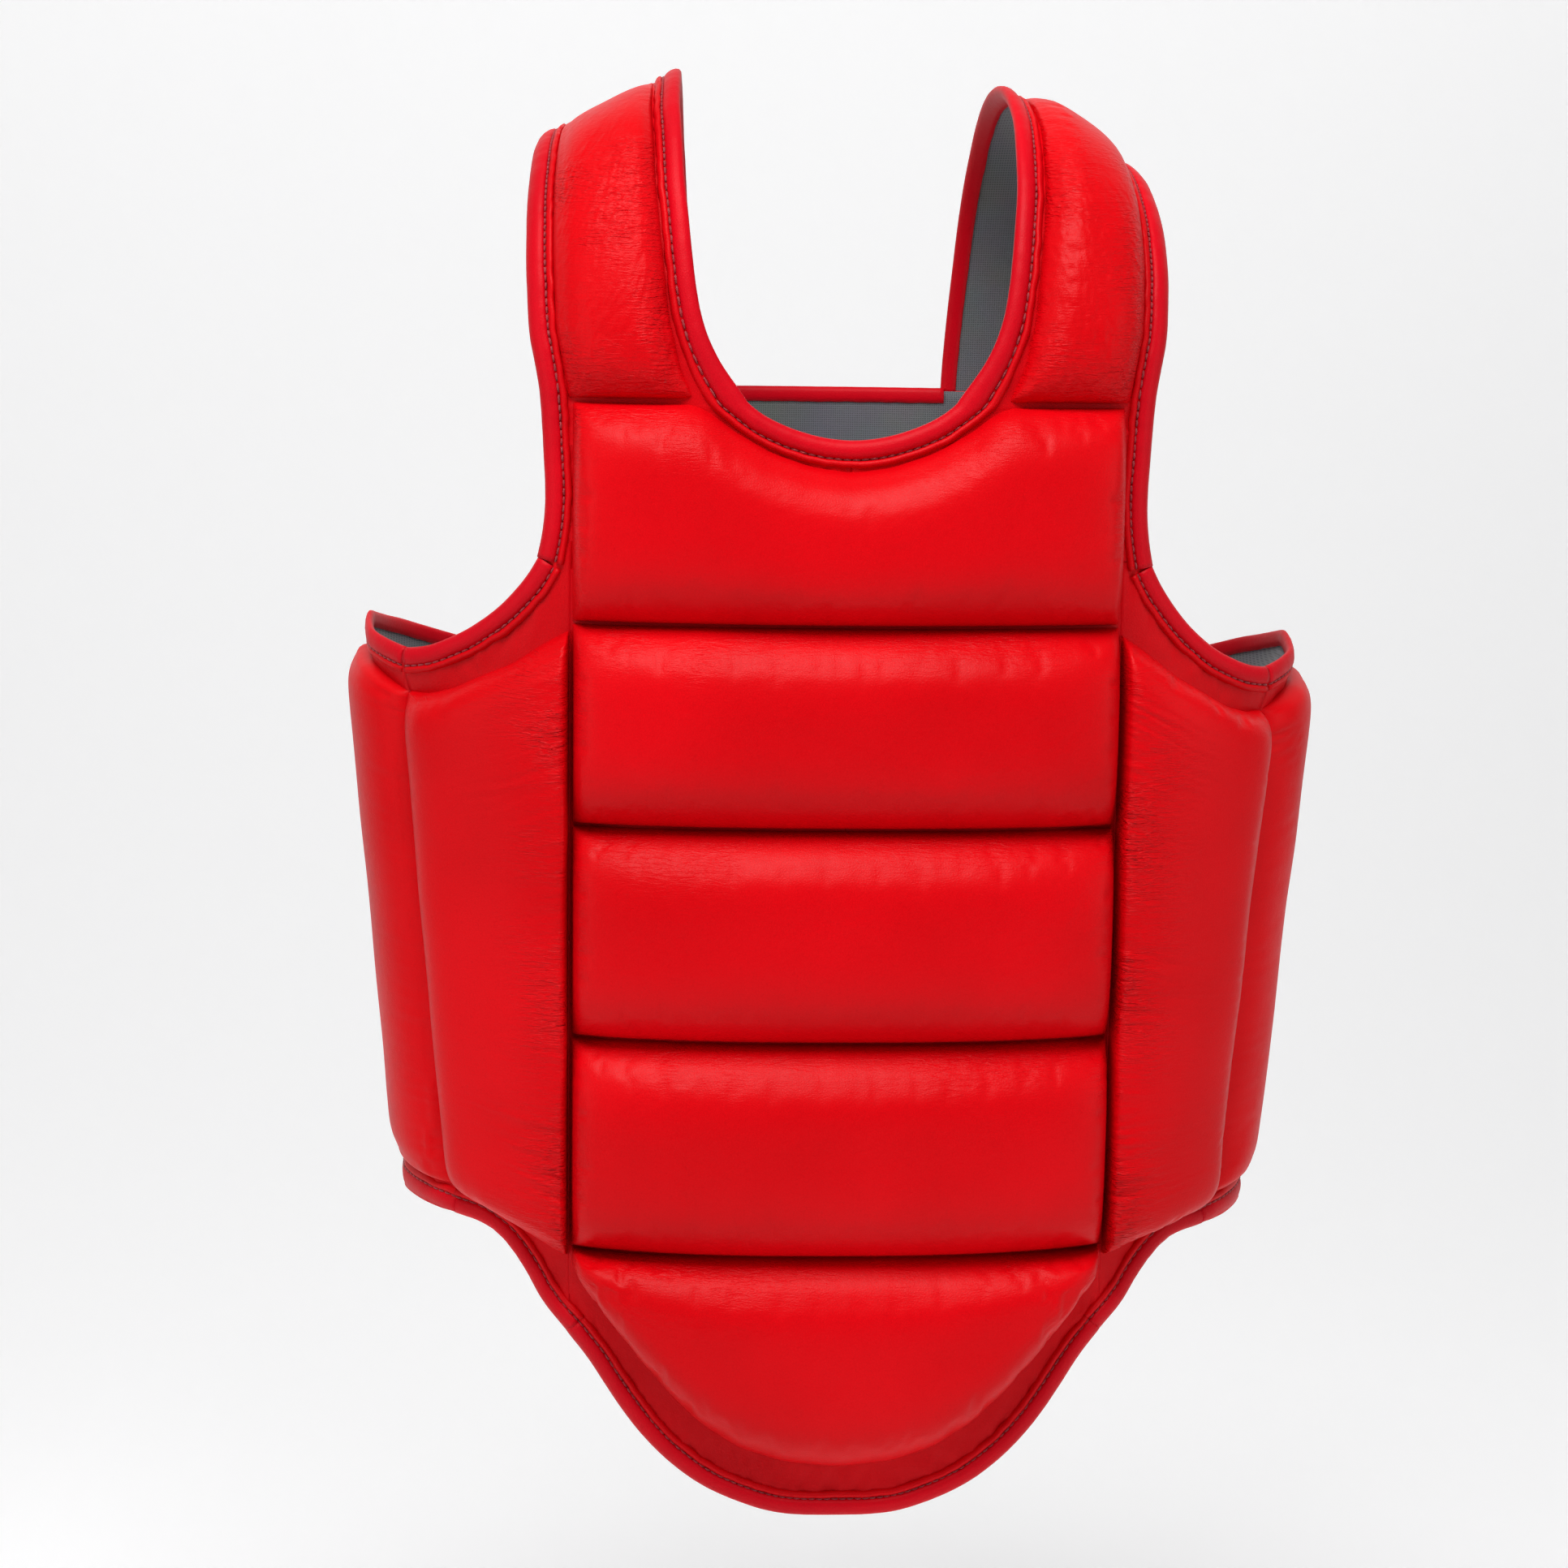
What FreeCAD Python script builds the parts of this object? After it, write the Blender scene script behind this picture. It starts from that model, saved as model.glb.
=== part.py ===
import FreeCAD, Part
import math
import os
from FreeCAD import Vector, Placement, Rotation

# Padded trunk guard for striking sports: leather covered foam blocks sewn
# through to one lining, two shoulder straps joined to a rear yoke, two side
# wings that wrap round the ribs, and a fold-down apron at the hem.
# Frame: +X is the wearer's left, -Y is the front, +Z is up.  z = 0 is the
# height at which the outer edge of the shoulder lining rests on the wearer.

os.makedirs("parts", exist_ok=True)
doc = FreeCAD.newDocument("TrunkGuard")

# ------------------------------------------------------------------ sheet
sheet = doc.addObject("Spreadsheet::Sheet", "dims")
DIMS = [
    ("half_depth", 112.0), ("half_width_ribs", 200.0), ("half_width_waist", 180.0),
    ("ribs_drop", 230.0), ("waist_drop", 460.0), ("plan_power", 2.5),
    ("column_half", 120.0), ("neck_seam_drop", 98.0), ("chest_seam_drop", 193.5),
    ("upper_seam_drop", 282.0), ("middle_seam_drop", 377.0), ("apron_seam_drop", 474.0),
    ("neck_drop", 115.4), ("neck_pad_drop", 127.0), ("hem_drop", 594.0),
    ("apron_pad_drop", 570.0), ("shoulder_inner_rise", 39.0), ("shoulder_slope", 0.50),
    ("shoulder_run", 175.0), ("shoulder_power", 2.2),
    ("lining_thick", 1.8), ("leather_thick", 1.8), ("leather_lift", 0.6),
    ("front_crown", 25.0), ("side_crown", 22.0), ("shoulder_crown", 16.0),
    ("apron_crown", 23.0), ("rear_crown", 11.0), ("foam_gap", 0.45),
    ("binding_width", 9.0), ("binding_low", 2.1), ("binding_high", 5.6),
    ("front_radius", 398.0), ("front_centre", 286.0),
    ("column_lining_half", 119.6), ("column_lining_height", 374.0),
    ("yoke_half", 118.0), ("yoke_top_drop", 99.0), ("yoke_height", 86.0),
    ("panel_half", 74.0), ("panel_height", 232.0), ("panel_bottom_drop", 424.0),
    ("yoke_lining_half", 130.0), ("panel_lining_half", 84.0),
    ("rear_pad_inner", 400.1), ("rear_pad_outer", 415.0), ("rear_foam_inner", 400.4),
    ("rear_foam_outer", 413.3), ("rear_round", 6.0), ("rear_foam_round", 4.6),
    ("rear_skin", 1.4), ("lining_outer", 399.8),
    ("loop_inner", 415.1), ("loop_outer", 416.3), ("loop_from", 8.0), ("loop_to", 66.0),
    ("loop_height", 176.0), ("loop_bottom_drop", 418.0),
    ("strap_height", 50.0), ("strap_thick", 2.2), ("tab_height", 56.0), ("tab_thick", 3.4),
    ("upper_strap_drop", 300.0), ("lower_strap_drop", 412.0), ("hinge_gap", 0.9),
]
for i, (name, value) in enumerate(DIMS, start=1):
    sheet.set("A%d" % i, name)
    sheet.set("B%d" % i, "%.4f" % value)
    sheet.setAlias("B%d" % i, name)
doc.recompute()


def D(name):
    return float(sheet.get(name))


B = D("half_depth")
NP = D("plan_power")
LIN = D("lining_thick")
LEA = D("leather_thick")
LIFT = D("leather_lift")
Z0 = -D("neck_seam_drop")


# --------------------------------------------------- body surface helpers
def half_width(z):
    top, bot = -D("ribs_drop"), -D("waist_drop")
    k = (top - z) / (top - bot)
    k = max(0.0, min(1.15, k))
    return D("half_width_ribs") + k * (D("half_width_waist") - D("half_width_ribs"))


def plan_phi(phi, z, off):
    """Point on the wrap: phi in degrees from the front, off = distance out."""
    a = half_width(z) + off
    b = B + off
    s = math.sin(math.radians(phi))
    c = math.cos(math.radians(phi))
    e = 2.0 / NP
    return Vector(a * math.copysign(abs(s) ** e, s), -b * math.copysign(abs(c) ** e, c), z)


_tables = {}


def table(z):
    key = round(z, 1)
    if key not in _tables:
        pts = [plan_phi(p * 0.5, key, 0.0) for p in range(0, 361)]
        acc = [0.0]
        for p, q in zip(pts[:-1], pts[1:]):
            acc.append(acc[-1] + q.sub(p).Length)
        _tables[key] = acc
    return _tables[key]


def phi_of_arc(q, z):
    acc = table(z)
    lo, hi = 0, len(acc) - 1
    while hi - lo > 1:
        mid = (lo + hi) // 2
        if acc[mid] <= q:
            lo = mid
        else:
            hi = mid
    span = acc[hi] - acc[lo]
    return 0.5 * (lo + (q - acc[lo]) / span)


def arc_of_phi(phi, z):
    acc = table(z)
    f = phi / 0.5
    i = min(int(f), len(acc) - 2)
    return acc[i] + (acc[i + 1] - acc[i]) * (f - i)


def wrap(q, z, off):
    """Point at arc length q from the front centre line, for the +X side."""
    return plan_phi(phi_of_arc(q, z), z, off)


def depth(x, z, off):
    a = half_width(z) + off
    r = min(abs(x) / a, 0.999)
    return (B + off) * (1.0 - r ** NP) ** (1.0 / NP)


def shoulder_rise(x):
    return D("shoulder_inner_rise") - D("shoulder_slope") * (abs(x) - 72.0)


def drape(x, w, off):
    """Front column, over the shoulder, and down the back: w <= Z0 is plain
    height on the front, above it w is the run over the shoulder."""
    run = D("shoulder_run")
    if w <= Z0:
        return Vector(x, -depth(x, w, off), w)
    if w >= Z0 + 2 * run:
        z = Z0 - (w - (Z0 + 2 * run))
        return Vector(x, depth(x, z, off), z)
    psi = (w - Z0) / run * 90.0
    e = 2.0 / D("shoulder_power")
    c = math.cos(math.radians(psi))
    s = math.sin(math.radians(psi))
    rise = shoulder_rise(x) - Z0
    return Vector(x, -depth(x, Z0, off) * math.copysign(abs(c) ** e, c),
                  Z0 + (rise + off) * abs(s) ** e)


def lerp_table(tab, t):
    if t <= tab[0][0]:
        return tab[0][1]
    for (t0, v0), (t1, v1) in zip(tab[:-1], tab[1:]):
        if t <= t1:
            return v0 + (v1 - v0) * (t - t0) / (t1 - t0)
    return tab[-1][1]


def smooth_table(tab, t, h=5.0):
    return (lerp_table(tab, t - h) + 2 * lerp_table(tab, t) + lerp_table(tab, t + h)) / 4.0


# ---------------------------------------------------------- solid helpers
def skin(grid):
    s = Part.BSplineSurface()
    s.interpolate(grid)
    return s


def block(inner, outer):
    """Closed solid between two point grids of the same size."""
    a, b = skin(inner), skin(outer)
    faces = [a.toShape(), b.toShape()]
    u0, u1, v0, v1 = a.bounds()
    U0, U1, V0, V1 = b.bounds()
    for ca, cb in ((a.uIso(u0), b.uIso(U0)), (a.uIso(u1), b.uIso(U1)),
                   (a.vIso(v0), b.vIso(V0)), (a.vIso(v1), b.vIso(V1))):
        faces.append(Part.makeRuledSurface(ca.toShape(), cb.toShape()))
    shell = Part.Shell(faces)
    shell.sewShape()
    solid = Part.Solid(shell)
    if not solid.isValid():
        solid.fix(1e-3, 1e-3, 1e-3)
    if solid.Volume < 0:
        solid.reverse()
    return solid


def grids(us, vs, where, low, high):
    """where(u, v, off) -> point; low / high(u, v) -> offsets."""
    inner = [[where(u, v, low(u, v)) for v in vs] for u in us]
    outer = [[where(u, v, high(u, v)) for v in vs] for u in us]
    return inner, outer


def spread(n, edge=1.0):
    """n values from -edge to edge, closer together near the ends."""
    return [edge * math.sin(math.pi / 2 * (-1 + 2.0 * i / (n - 1))) for i in range(n)]


def crown(u, v, pu, pv):
    return max(0.0, (1 - abs(u) ** pu) * (1 - abs(v) ** pv))


def pad_cover(where, rise, pu, pv, nu=13, nv=11):
    inner, outer = grids(spread(nu), spread(nv), where,
                         lambda u, v: LIN + LIFT + rise * crown(u, v, pu, pv),
                         lambda u, v: LIN + LIFT + LEA + rise * crown(u, v, pu, pv))
    return block(inner, outer)


def pad_foam(where, rise, pu, pv, eu, ev, nu=11, nv=9):
    gap = D("foam_gap")
    inner, outer = grids(spread(nu, eu), spread(nv, ev), where,
                         lambda u, v: LIN + gap,
                         lambda u, v: LIN + LIFT - gap + rise * crown(u, v, pu, pv))
    return block(inner, outer)


def strip(points, width, side, where, n=25, low=None, high=None):
    """Band of the given width along an outline of (x, w) points."""
    low = D("binding_low") if low is None else low
    high = D("binding_high") if high is None else high
    acc = [0.0]
    for p, q in zip(points[:-1], points[1:]):
        acc.append(acc[-1] + math.hypot(q[0] - p[0], q[1] - p[1]))
    total = acc[-1]
    tx = [(a, p[0]) for a, p in zip(acc, points)]
    tw = [(a, p[1]) for a, p in zip(acc, points)]
    hh = total / n * 1.2
    line = []
    for i in range(n):
        t = total * i / (n - 1)
        k = min(hh, t, total - t)
        line.append((smooth_table(tx, t, k + 1e-6), smooth_table(tw, t, k + 1e-6)))
    inner, outer = [], []
    for i, (x, w) in enumerate(line):
        p = line[max(i - 1, 0)]
        q = line[min(i + 1, n - 1)]
        dx, dw = q[0] - p[0], q[1] - p[1]
        ln = math.hypot(dx, dw)
        nx, nw = -dw / ln * side, dx / ln * side
        row_i, row_o = [], []
        for k in (0.0, 0.5, 1.0):
            row_i.append(where(x + nx * width * k, w + nw * width * k, low))
            row_o.append(where(x + nx * width * k, w + nw * width * k, high))
        inner.append(row_i)
        outer.append(row_o)
    return block(inner, outer)


nodes = []


def add_shape(label, shape):
    feat = doc.addObject("Part::Feature", label)
    feat.Label = label
    feat.Shape = shape
    feat.Placement = Placement(Vector(0, 0, 0), Rotation())
    nodes.append(feat)
    return feat


def mirrored(shape):
    return shape.mirror(Vector(0, 0, 0), Vector(1, 0, 0))


def add_pair(name, shape):
    """Left piece (+X) and its right hand twin."""
    add_shape("left_" + name, shape)
    add_shape("right_" + name, mirrored(shape))


# ------------------------------------------------ outlines, in millimetres
NECK_EDGE = [(-98.0, 47.0), (-93.7, 53.0), (-88.5, 58.0), (-82.0, 62.5), (-76.0, 65.3),
             (-69.6, 67.3), (-56.0, 69.6), (-44.5, 70.9), (-23.0, 73.3), (21.6, 74.8),
             (77.0, 73.0), (150.0, 70.0), (210.0, 66.0), (252.0, 62.0)]
OUTER_EDGE = [(-98.0, 131.5), (-72.0, 137.0), (-40.0, 138.5), (-7.0, 138.5), (40.0, 136.5),
              (77.0, 134.0), (150.0, 133.0), (252.0, 131.0)]
NECK_LOW = [(0.0, -115.4), (18.0, -113.0), (36.0, -106.2), (47.0, -98.0)]
NECK_PAD = [(0.0, -127.0), (17.0, -124.7), (35.0, -118.6), (52.0, -109.0), (60.0, -102.5),
            (68.0, -99.5), (120.0, -99.5)]
HEM = [(0.0, -594.0), (20.0, -593.8), (35.0, -591.0), (58.0, -582.0), (74.0, -570.7), (86.0, -559.0),
       (95.0, -547.7), (103.0, -536.0), (110.5, -524.7), (121.0, -513.0)]
# hem, rim and pad edges of the wings: arc length from the front centre line
HEM_SIDE = [(121.0, -513.0), (133.0, -502.0), (140.0, -490.0), (149.0, -479.0),
            (164.0, -471.5), (190.0, -469.0), (260.0, -468.0), (330.0, -465.0), (400.0, -461.0)]
RIM_SIDE = [(122.0, -172.0), (139.5, -172.5), (146.5, -183.5), (155.5, -194.0), (171.0, -205.5),
            (200.0, -217.5), (230.0, -213.0), (262.0, -206.0), (300.0, -213.0), (345.0, -226.0),
            (400.0, -232.0)]
PAD_TOP = [(122.0, -198.0), (146.0, -213.0), (172.0, -226.0), (205.0, -234.0), (235.0, -228.0),
           (262.0, -222.5), (300.0, -229.0), (345.0, -240.0), (400.0, -244.0)]
PAD_LOW = [(122.0, -478.5), (138.0, -471.5), (154.0, -464.0), (172.0, -459.0), (205.0, -457.5),
           (262.0, -455.0), (400.0, -452.0)]
APRON_HALF = [(-571.0, 0.0), (-568.5, 24.0), (-562.0, 44.0), (-551.0, 61.0), (-538.0, 74.5),
              (-523.0, 87.0), (-507.0, 99.0), (-492.0, 110.5), (-480.0, 118.0), (-475.0, 118.5)]


def seam2_phi(z):
    return 71.6 + (z + 234.0) / (-457.0 + 234.0) * (63.5 - 71.6)


def seam2_arc(z):
    return arc_of_phi(seam2_phi(z), z)


REAR_PHI = 136.0
REAR_PAD_PHI = 127.0

# =============================================== front centre column: pads
ch = D("column_half")
gap = D("hinge_gap")
S1, S2, S3, S4 = [-D(n) for n in ("chest_seam_drop", "upper_seam_drop", "middle_seam_drop",
                                  "apron_seam_drop")]


def column(z_low, z_high, half):
    def where(u, v, off):
        zt = z_high(u * half) if callable(z_high) else z_high
        z = z_low + (zt - z_low) * (v + 1) / 2.0
        return drape(u * half, z, off)
    return where


def chest_top(x):
    return smooth_table(NECK_PAD, abs(x), 7.0)


fc = D("front_crown")
cols = [
    ("chest", column(S1 + 0.7, chest_top, ch - 1.6), fc - 2.0, 21, 11),
    ("upper_abdomen", column(S2 + 0.7, S1 - 0.7, ch - 1.6), fc, 13, 11),
    ("middle_abdomen", column(S3 + 0.7, S2 - 0.7, ch - 1.6), fc, 13, 11),
    ("lower_abdomen", column(S4 + 2.2, S3 - 0.7, ch - 1.6), fc, 13, 11),
]
for name, where, rise, nu, nv in cols:
    add_shape(name + "_cover", pad_cover(where, rise, 8, 4, nu, nv))
    add_shape(name + "_foam", pad_foam(where, rise, 8, 4, 0.95, 0.90, max(11, nu - 6), 9))

# ------------------------------------------------------- front shoulders
CREST = Z0 + D("shoulder_run")
SEAM_UP = 1.2


def shoulder(w_from, w_to, inset_in, inset_out):
    def where(u, v, off):
        w = w_from + (w_to - w_from) * (v + 1) / 2.0
        xi = smooth_table(NECK_EDGE, w, 6.0) + inset_in(w)
        xo = smooth_table(OUTER_EDGE, w, 6.0) - inset_out
        return drape(xi + (xo - xi) * (u + 1) / 2.0, w, off)
    return where


def neck_inset(w):
    return lerp_table([(-98.0, 20.0), (-80.0, 13.5), (-60.0, 12.5), (252.0, 12.5)], w)


front_sh = shoulder(Z0 + SEAM_UP, CREST - 1.2, neck_inset, 11.0)
sc = D("shoulder_crown")


def sh_crown(u, v):
    # closing at the chest seam (v = -1), flattened where it bends over the crest (v = 1)
    return max(0.0, (1 - abs(u) ** 4)) * max(0.0, 1 - abs(min(v, 0.0)) ** 8) * (1 - 0.45 * max(v, 0.0))


def shoulder_cover(where, prof):
    i, o = grids(spread(11), spread(15), where,
                 lambda u, v: LIN + LIFT + sc * prof(u, v),
                 lambda u, v: LIN + LIFT + LEA + sc * prof(u, v))
    return block(i, o)


def shoulder_foam(where, prof):
    g = D("foam_gap")
    us = spread(9, 0.88)
    vs = [-0.86 + 1.83 * k / 10.0 for k in range(11)]
    i, o = grids(us, vs, where, lambda u, v: LIN + g,
                 lambda u, v: LIN + LIFT - g + (sc - 1.8) * prof(u, v))
    return block(i, o)


add_pair("front_shoulder_cover", shoulder_cover(front_sh, sh_crown))
add_pair("front_shoulder_foam", shoulder_foam(front_sh, sh_crown))


def strap_lining(w_from, w_to):
    where = shoulder(w_from, w_to, lambda w: 0.0, 0.0)
    vs = [-1 + 2.0 * k / 12.0 for k in range(13)]
    i, o = grids([-1, -0.5, 0, 0.5, 1], vs, where, lambda u, v: 0.0, lambda u, v: LIN)
    return block(i, o)


add_pair("front_shoulder_lining", strap_lining(Z0 + 0.3, CREST - 0.5))

# rear shoulders: same band carried over the crest and down to the yoke
rear_sh = shoulder(CREST + 1.2, Z0 + 2 * D("shoulder_run") - SEAM_UP,
                   lambda w: lerp_table([(77.0, 12.5), (252.0, 12.0)], w), 11.0)


def rear_crown(u, v):
    return 0.78 * max(0.0, (1 - abs(u) ** 4)) * max(0.0, 1 - abs(max(v, 0.0)) ** 8) * \
        (1 - 0.295 * max(-v, 0.0))


add_pair("rear_shoulder_cover", shoulder_cover(rear_sh, rear_crown))


def rear_foam():
    g = D("foam_gap")
    us = spread(9, 0.92)
    vs = [-0.97 + 1.90 * k / 10.0 for k in range(11)]
    i, o = grids(us, vs, rear_sh, lambda u, v: LIN + g,
                 lambda u, v: LIN + LIFT - g + (sc - 1.2) * rear_crown(u, v))
    return block(i, o)


add_pair("rear_shoulder_foam", rear_foam())
add_pair("rear_shoulder_lining", strap_lining(CREST + 0.5, Z0 + 2 * D("shoulder_run") - 0.3))

# ------------------------------------------------------------ neck binding
neck_pts = [(smooth_table(NECK_EDGE, w, 3.0), w) for w in
            (CREST - 1.2, 60.0, 40.0, 21.6, 0.0, -23.0, -44.5, -56.0, -69.6, -76.0, -82.0, -88.5, -93.7)]
neck_pts += [(47.0, -98.3), (36.0, -106.0), (18.0, -113.0)]
full_neck = neck_pts + [(0.0, -115.4)] + [(-x, w) for x, w in reversed(neck_pts)]
bw = D("binding_width")
add_shape("neck_binding", strip(full_neck, bw, +1, drape, 61))

# armhole binding of the front: crest, strap outer edge, chest side
arm_pts = [(smooth_table(OUTER_EDGE, w, 3.0), w) for w in
           (CREST - 1.2, 60.0, 40.0, 15.0, -7.0, -25.0, -40.0, -56.0, -72.0, -85.0)]
arm_pts += [(131.8, -98.0), (130.8, -115.0), (129.4, -141.0), (130.8, -156.0), (133.2, -169.0)]
add_pair("armhole_binding", strip(arm_pts, bw, -1, drape, 31))

# ==================================================== side pads (wings)
qa = arc_of_phi(math.degrees(math.asin((ch / half_width(-200.0)) ** (NP / 2.0))), -200.0)


def front_seam_arc(z):
    a = half_width(z)
    return arc_of_phi(math.degrees(math.asin((ch / a) ** (NP / 2.0))), z)


def wing(q_from, q_to, top, low):
    """Patch of the wrap between two (possibly slanted) upright seams."""
    def where(u, v, off):
        uu = (u + 1) / 2.0
        vv = (v + 1) / 2.0
        zt, zb = -225.0, -460.0
        for _ in range(4):
            qt = q_from(zt) + (q_to(zt) - q_from(zt)) * uu
            qb = q_from(zb) + (q_to(zb) - q_from(zb)) * uu
            zt, zb = top(qt), low(qb)
        z = zb + (zt - zb) * vv
        q = q_from(z) + (q_to(z) - q_from(z)) * uu
        return wrap(q, z, off)
    return where


def t_pad_top(q):
    return smooth_table(PAD_TOP, q, 8.0)


def t_pad_low(q):
    return smooth_table(PAD_LOW, q, 8.0)


sf = wing(lambda z: front_seam_arc(z) + 1.9, lambda z: seam2_arc(z) - 1.7, t_pad_top, t_pad_low)
sdc = D("side_crown")
add_pair("side_front_cover", pad_cover(sf, sdc, 4, 10, 11, 15))
add_pair("side_front_foam", pad_foam(sf, sdc, 4, 10, 0.92, 0.96, 9, 11))


def rear_arc(z):
    return arc_of_phi(REAR_PAD_PHI, z)


sr = wing(lambda z: seam2_arc(z) + 1.7, rear_arc, t_pad_top, t_pad_low)
add_pair("side_rear_cover", pad_cover(sr, sdc, 6, 10, 13, 15))
add_pair("side_rear_foam", pad_foam(sr, sdc, 6, 10, 0.94, 0.96, 11, 11))

# linings of the wings
sfl = wing(lambda z: front_seam_arc(z) + gap, lambda z: seam2_arc(z) - gap,
           lambda q: smooth_table(RIM_SIDE, q, 4.0), lambda q: smooth_table(HEM_SIDE, q, 4.0))
us = [-1 + 2.0 * k / 12.0 for k in range(13)]
vs = [-1 + 2.0 * k / 8.0 for k in range(9)]
i, o = grids(us, vs, sfl, lambda u, v: 0.0, lambda u, v: LIN)
add_pair("side_front_lining", block(i, o))

srl = wing(lambda z: seam2_arc(z) + gap, lambda z: arc_of_phi(REAR_PHI, z),
           lambda q: smooth_table(RIM_SIDE, q, 4.0), lambda q: smooth_table(HEM_SIDE, q, 4.0))
i, o = grids(us, vs, srl, lambda u, v: 0.0, lambda u, v: LIN)
add_pair("side_rear_lining", block(i, o))


# bindings of the wings: rim, hem and (rear wing) back edge
def clip(tab, q0, q1):
    pts = [(q0, lerp_table(tab, q0))]
    pts += [p for p in tab if q0 + 2.0 < p[0] < q1 - 2.0]
    pts.append((q1, lerp_table(tab, q1)))
    return pts


q_rim2 = seam2_arc(-217.0)
q_hem2 = seam2_arc(-469.0)
rim_a = [(135.2, -171.0), (139.5, -175.0), (146.5, -184.0), (155.5, -194.5), (171.0, -205.5),
         (185.0, -212.5), (q_rim2 - 1.6, -217.0)]
rim_b = clip(RIM_SIDE, q_rim2 + 1.6, arc_of_phi(REAR_PHI, -230.0))
hem_a = [(131.5, -503.5)] + [p for p in HEM_SIDE if 134.0 < p[0] < q_hem2 - 4.0] + \
        [(q_hem2 - 1.6, lerp_table(HEM_SIDE, q_hem2 - 1.6))]
hem_b = clip(HEM_SIDE, q_hem2 + 1.6, arc_of_phi(REAR_PHI, -462.0))
front_edges = Part.Compound([strip(rim_a, bw, -1, wrap, 21), strip(hem_a, bw, +1, wrap, 21)])
add_pair("side_front_binding", front_edges)
rear_edge = [(arc_of_phi(REAR_PHI, z), z) for z in (-242.0, -280.0, -320.0, -360.0, -400.0, -451.0)]
rear_edges = Part.Compound([strip(rim_b, bw, -1, wrap, 21), strip(hem_b, bw, +1, wrap, 21),
                            strip(rear_edge, bw, -1, wrap, 13)])
add_pair("side_rear_binding", rear_edges)

# =============================================================== apron
AT = S4 - 2.2


def apron_half(z):
    return smooth_table(APRON_HALF, z, 4.0)


def apron_where(u, v, off):
    # columns fan out so that the outline is the rounded apron edge
    x = u * 118.0
    tab = [(h, z) for z, h in APRON_HALF]
    zb = smooth_table(tab, abs(x), 4.0)
    zb = min(zb, AT - 7.0)
    z = zb + (AT - zb) * (v + 1) / 2.0
    return drape(x, z, off)


ac = D("apron_crown")
add_shape("apron_cover", pad_cover(apron_where, ac, 6, 4, 21, 11))
add_shape("apron_foam", pad_foam(apron_where, ac - 0.8, 6, 4, 0.90, 0.88, 15, 9))


def apron_lining_where(u, v, off):
    x = u * 119.6
    zb = smooth_table(HEM, abs(x), 3.0)
    zt = S4 - 1.8
    return drape(x, zb + (zt - zb) * (v + 1) / 2.0, off)


i, o = grids([-1 + 2.0 * k / 20.0 for k in range(21)], [-1 + 2.0 * k / 8.0 for k in range(9)],
             apron_lining_where, lambda u, v: 0.0, lambda u, v: LIN)
add_shape("apron_lining", block(i, o))
hem_pts = [(x, z) for x, z in HEM if x < 118.0] + [(119.4, -514.8)]
full_hem = [(-x, z) for x, z in reversed(hem_pts)] + hem_pts[1:]
add_shape("apron_binding", strip(full_hem, bw, +1, drape, 61))

doc.recompute()


# ==================================== pieces cut flat and bent to one arc
def plane(body, role):
    for f in body.Origin.OriginFeatures:
        if f.Role == role:
            return f
    raise RuntimeError("no plane " + role)


def new_sketch(body, role, name):
    sk = body.newObject("Sketcher::SketchObject", name)
    sk.AttachmentSupport = [(plane(body, role), "")]
    sk.MapMode = "FlatFace"
    return sk


def arc_slab(sk, sign, x0, x1, r_in, r_out, names):
    """Bent slab seen from above: two concentric arcs and two end lines.
    sign -1 is the front of the guard, +1 the back."""
    cy = D("front_centre")
    yc = cy if sign < 0 else -cy

    def ang(x, r):
        return math.atan2(sign * math.sqrt(r * r - x * x), x)
    geo = []
    for r in (r_in, r_out):
        a0, a1 = ang(x0, r), ang(x1, r)
        lo, hi = (a0, a1) if sign < 0 else (a1, a0)
        geo.append(Part.ArcOfCircle(Part.Circle(Vector(0, yc, 0), Vector(0, 0, 1), r), lo, hi))

    def end(g, x):
        s, e = g.StartPoint, g.EndPoint
        return (1, s) if abs(s.x - x) < abs(e.x - x) else (2, e)
    g0, g1 = geo
    sk.addGeometry(g0, False)
    sk.addGeometry(g1, False)
    i0, p0 = end(g0, x0)
    o0, q0 = end(g1, x0)
    i1, p1 = end(g0, x1)
    o1, q1 = end(g1, x1)
    sk.addGeometry(Part.LineSegment(p0, q0), False)
    sk.addGeometry(Part.LineSegment(p1, q1), False)
    C = __import__("Sketcher").Constraint
    sk.addConstraint(C("Coincident", 0, 3, 1, 3))
    sk.addConstraint(C("PointOnObject", 0, 3, -2))
    if yc > 0:
        k = sk.addConstraint(C("DistanceY", -1, 1, 0, 3, cy))
    else:
        k = sk.addConstraint(C("DistanceY", 0, 3, -1, 1, cy))
    sk.setExpression("Constraints[%d]" % k, "dims.front_centre")
    for g, r, nm in ((0, r_in, names[0]), (1, r_out, names[1])):
        k = sk.addConstraint(C("Radius", g, r))
        sk.setExpression("Constraints[%d]" % k, "dims." + nm)
    sk.addConstraint(C("Coincident", 0, i0, 2, 1))
    sk.addConstraint(C("Coincident", 1, o0, 2, 2))
    sk.addConstraint(C("Coincident", 0, i1, 3, 1))
    sk.addConstraint(C("Coincident", 1, o1, 3, 2))
    for g, pos, x, nm in ((0, i0, x0, names[2]), (1, o0, x0, names[2]),
                          (0, i1, x1, names[3]), (1, o1, x1, names[3])):
        if x >= 0:
            k = sk.addConstraint(C("DistanceX", -1, 1, g, pos, x))
        else:
            k = sk.addConstraint(C("DistanceX", g, pos, -1, 1, -x))
        sk.setExpression("Constraints[%d]" % k, "dims." + nm)


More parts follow.
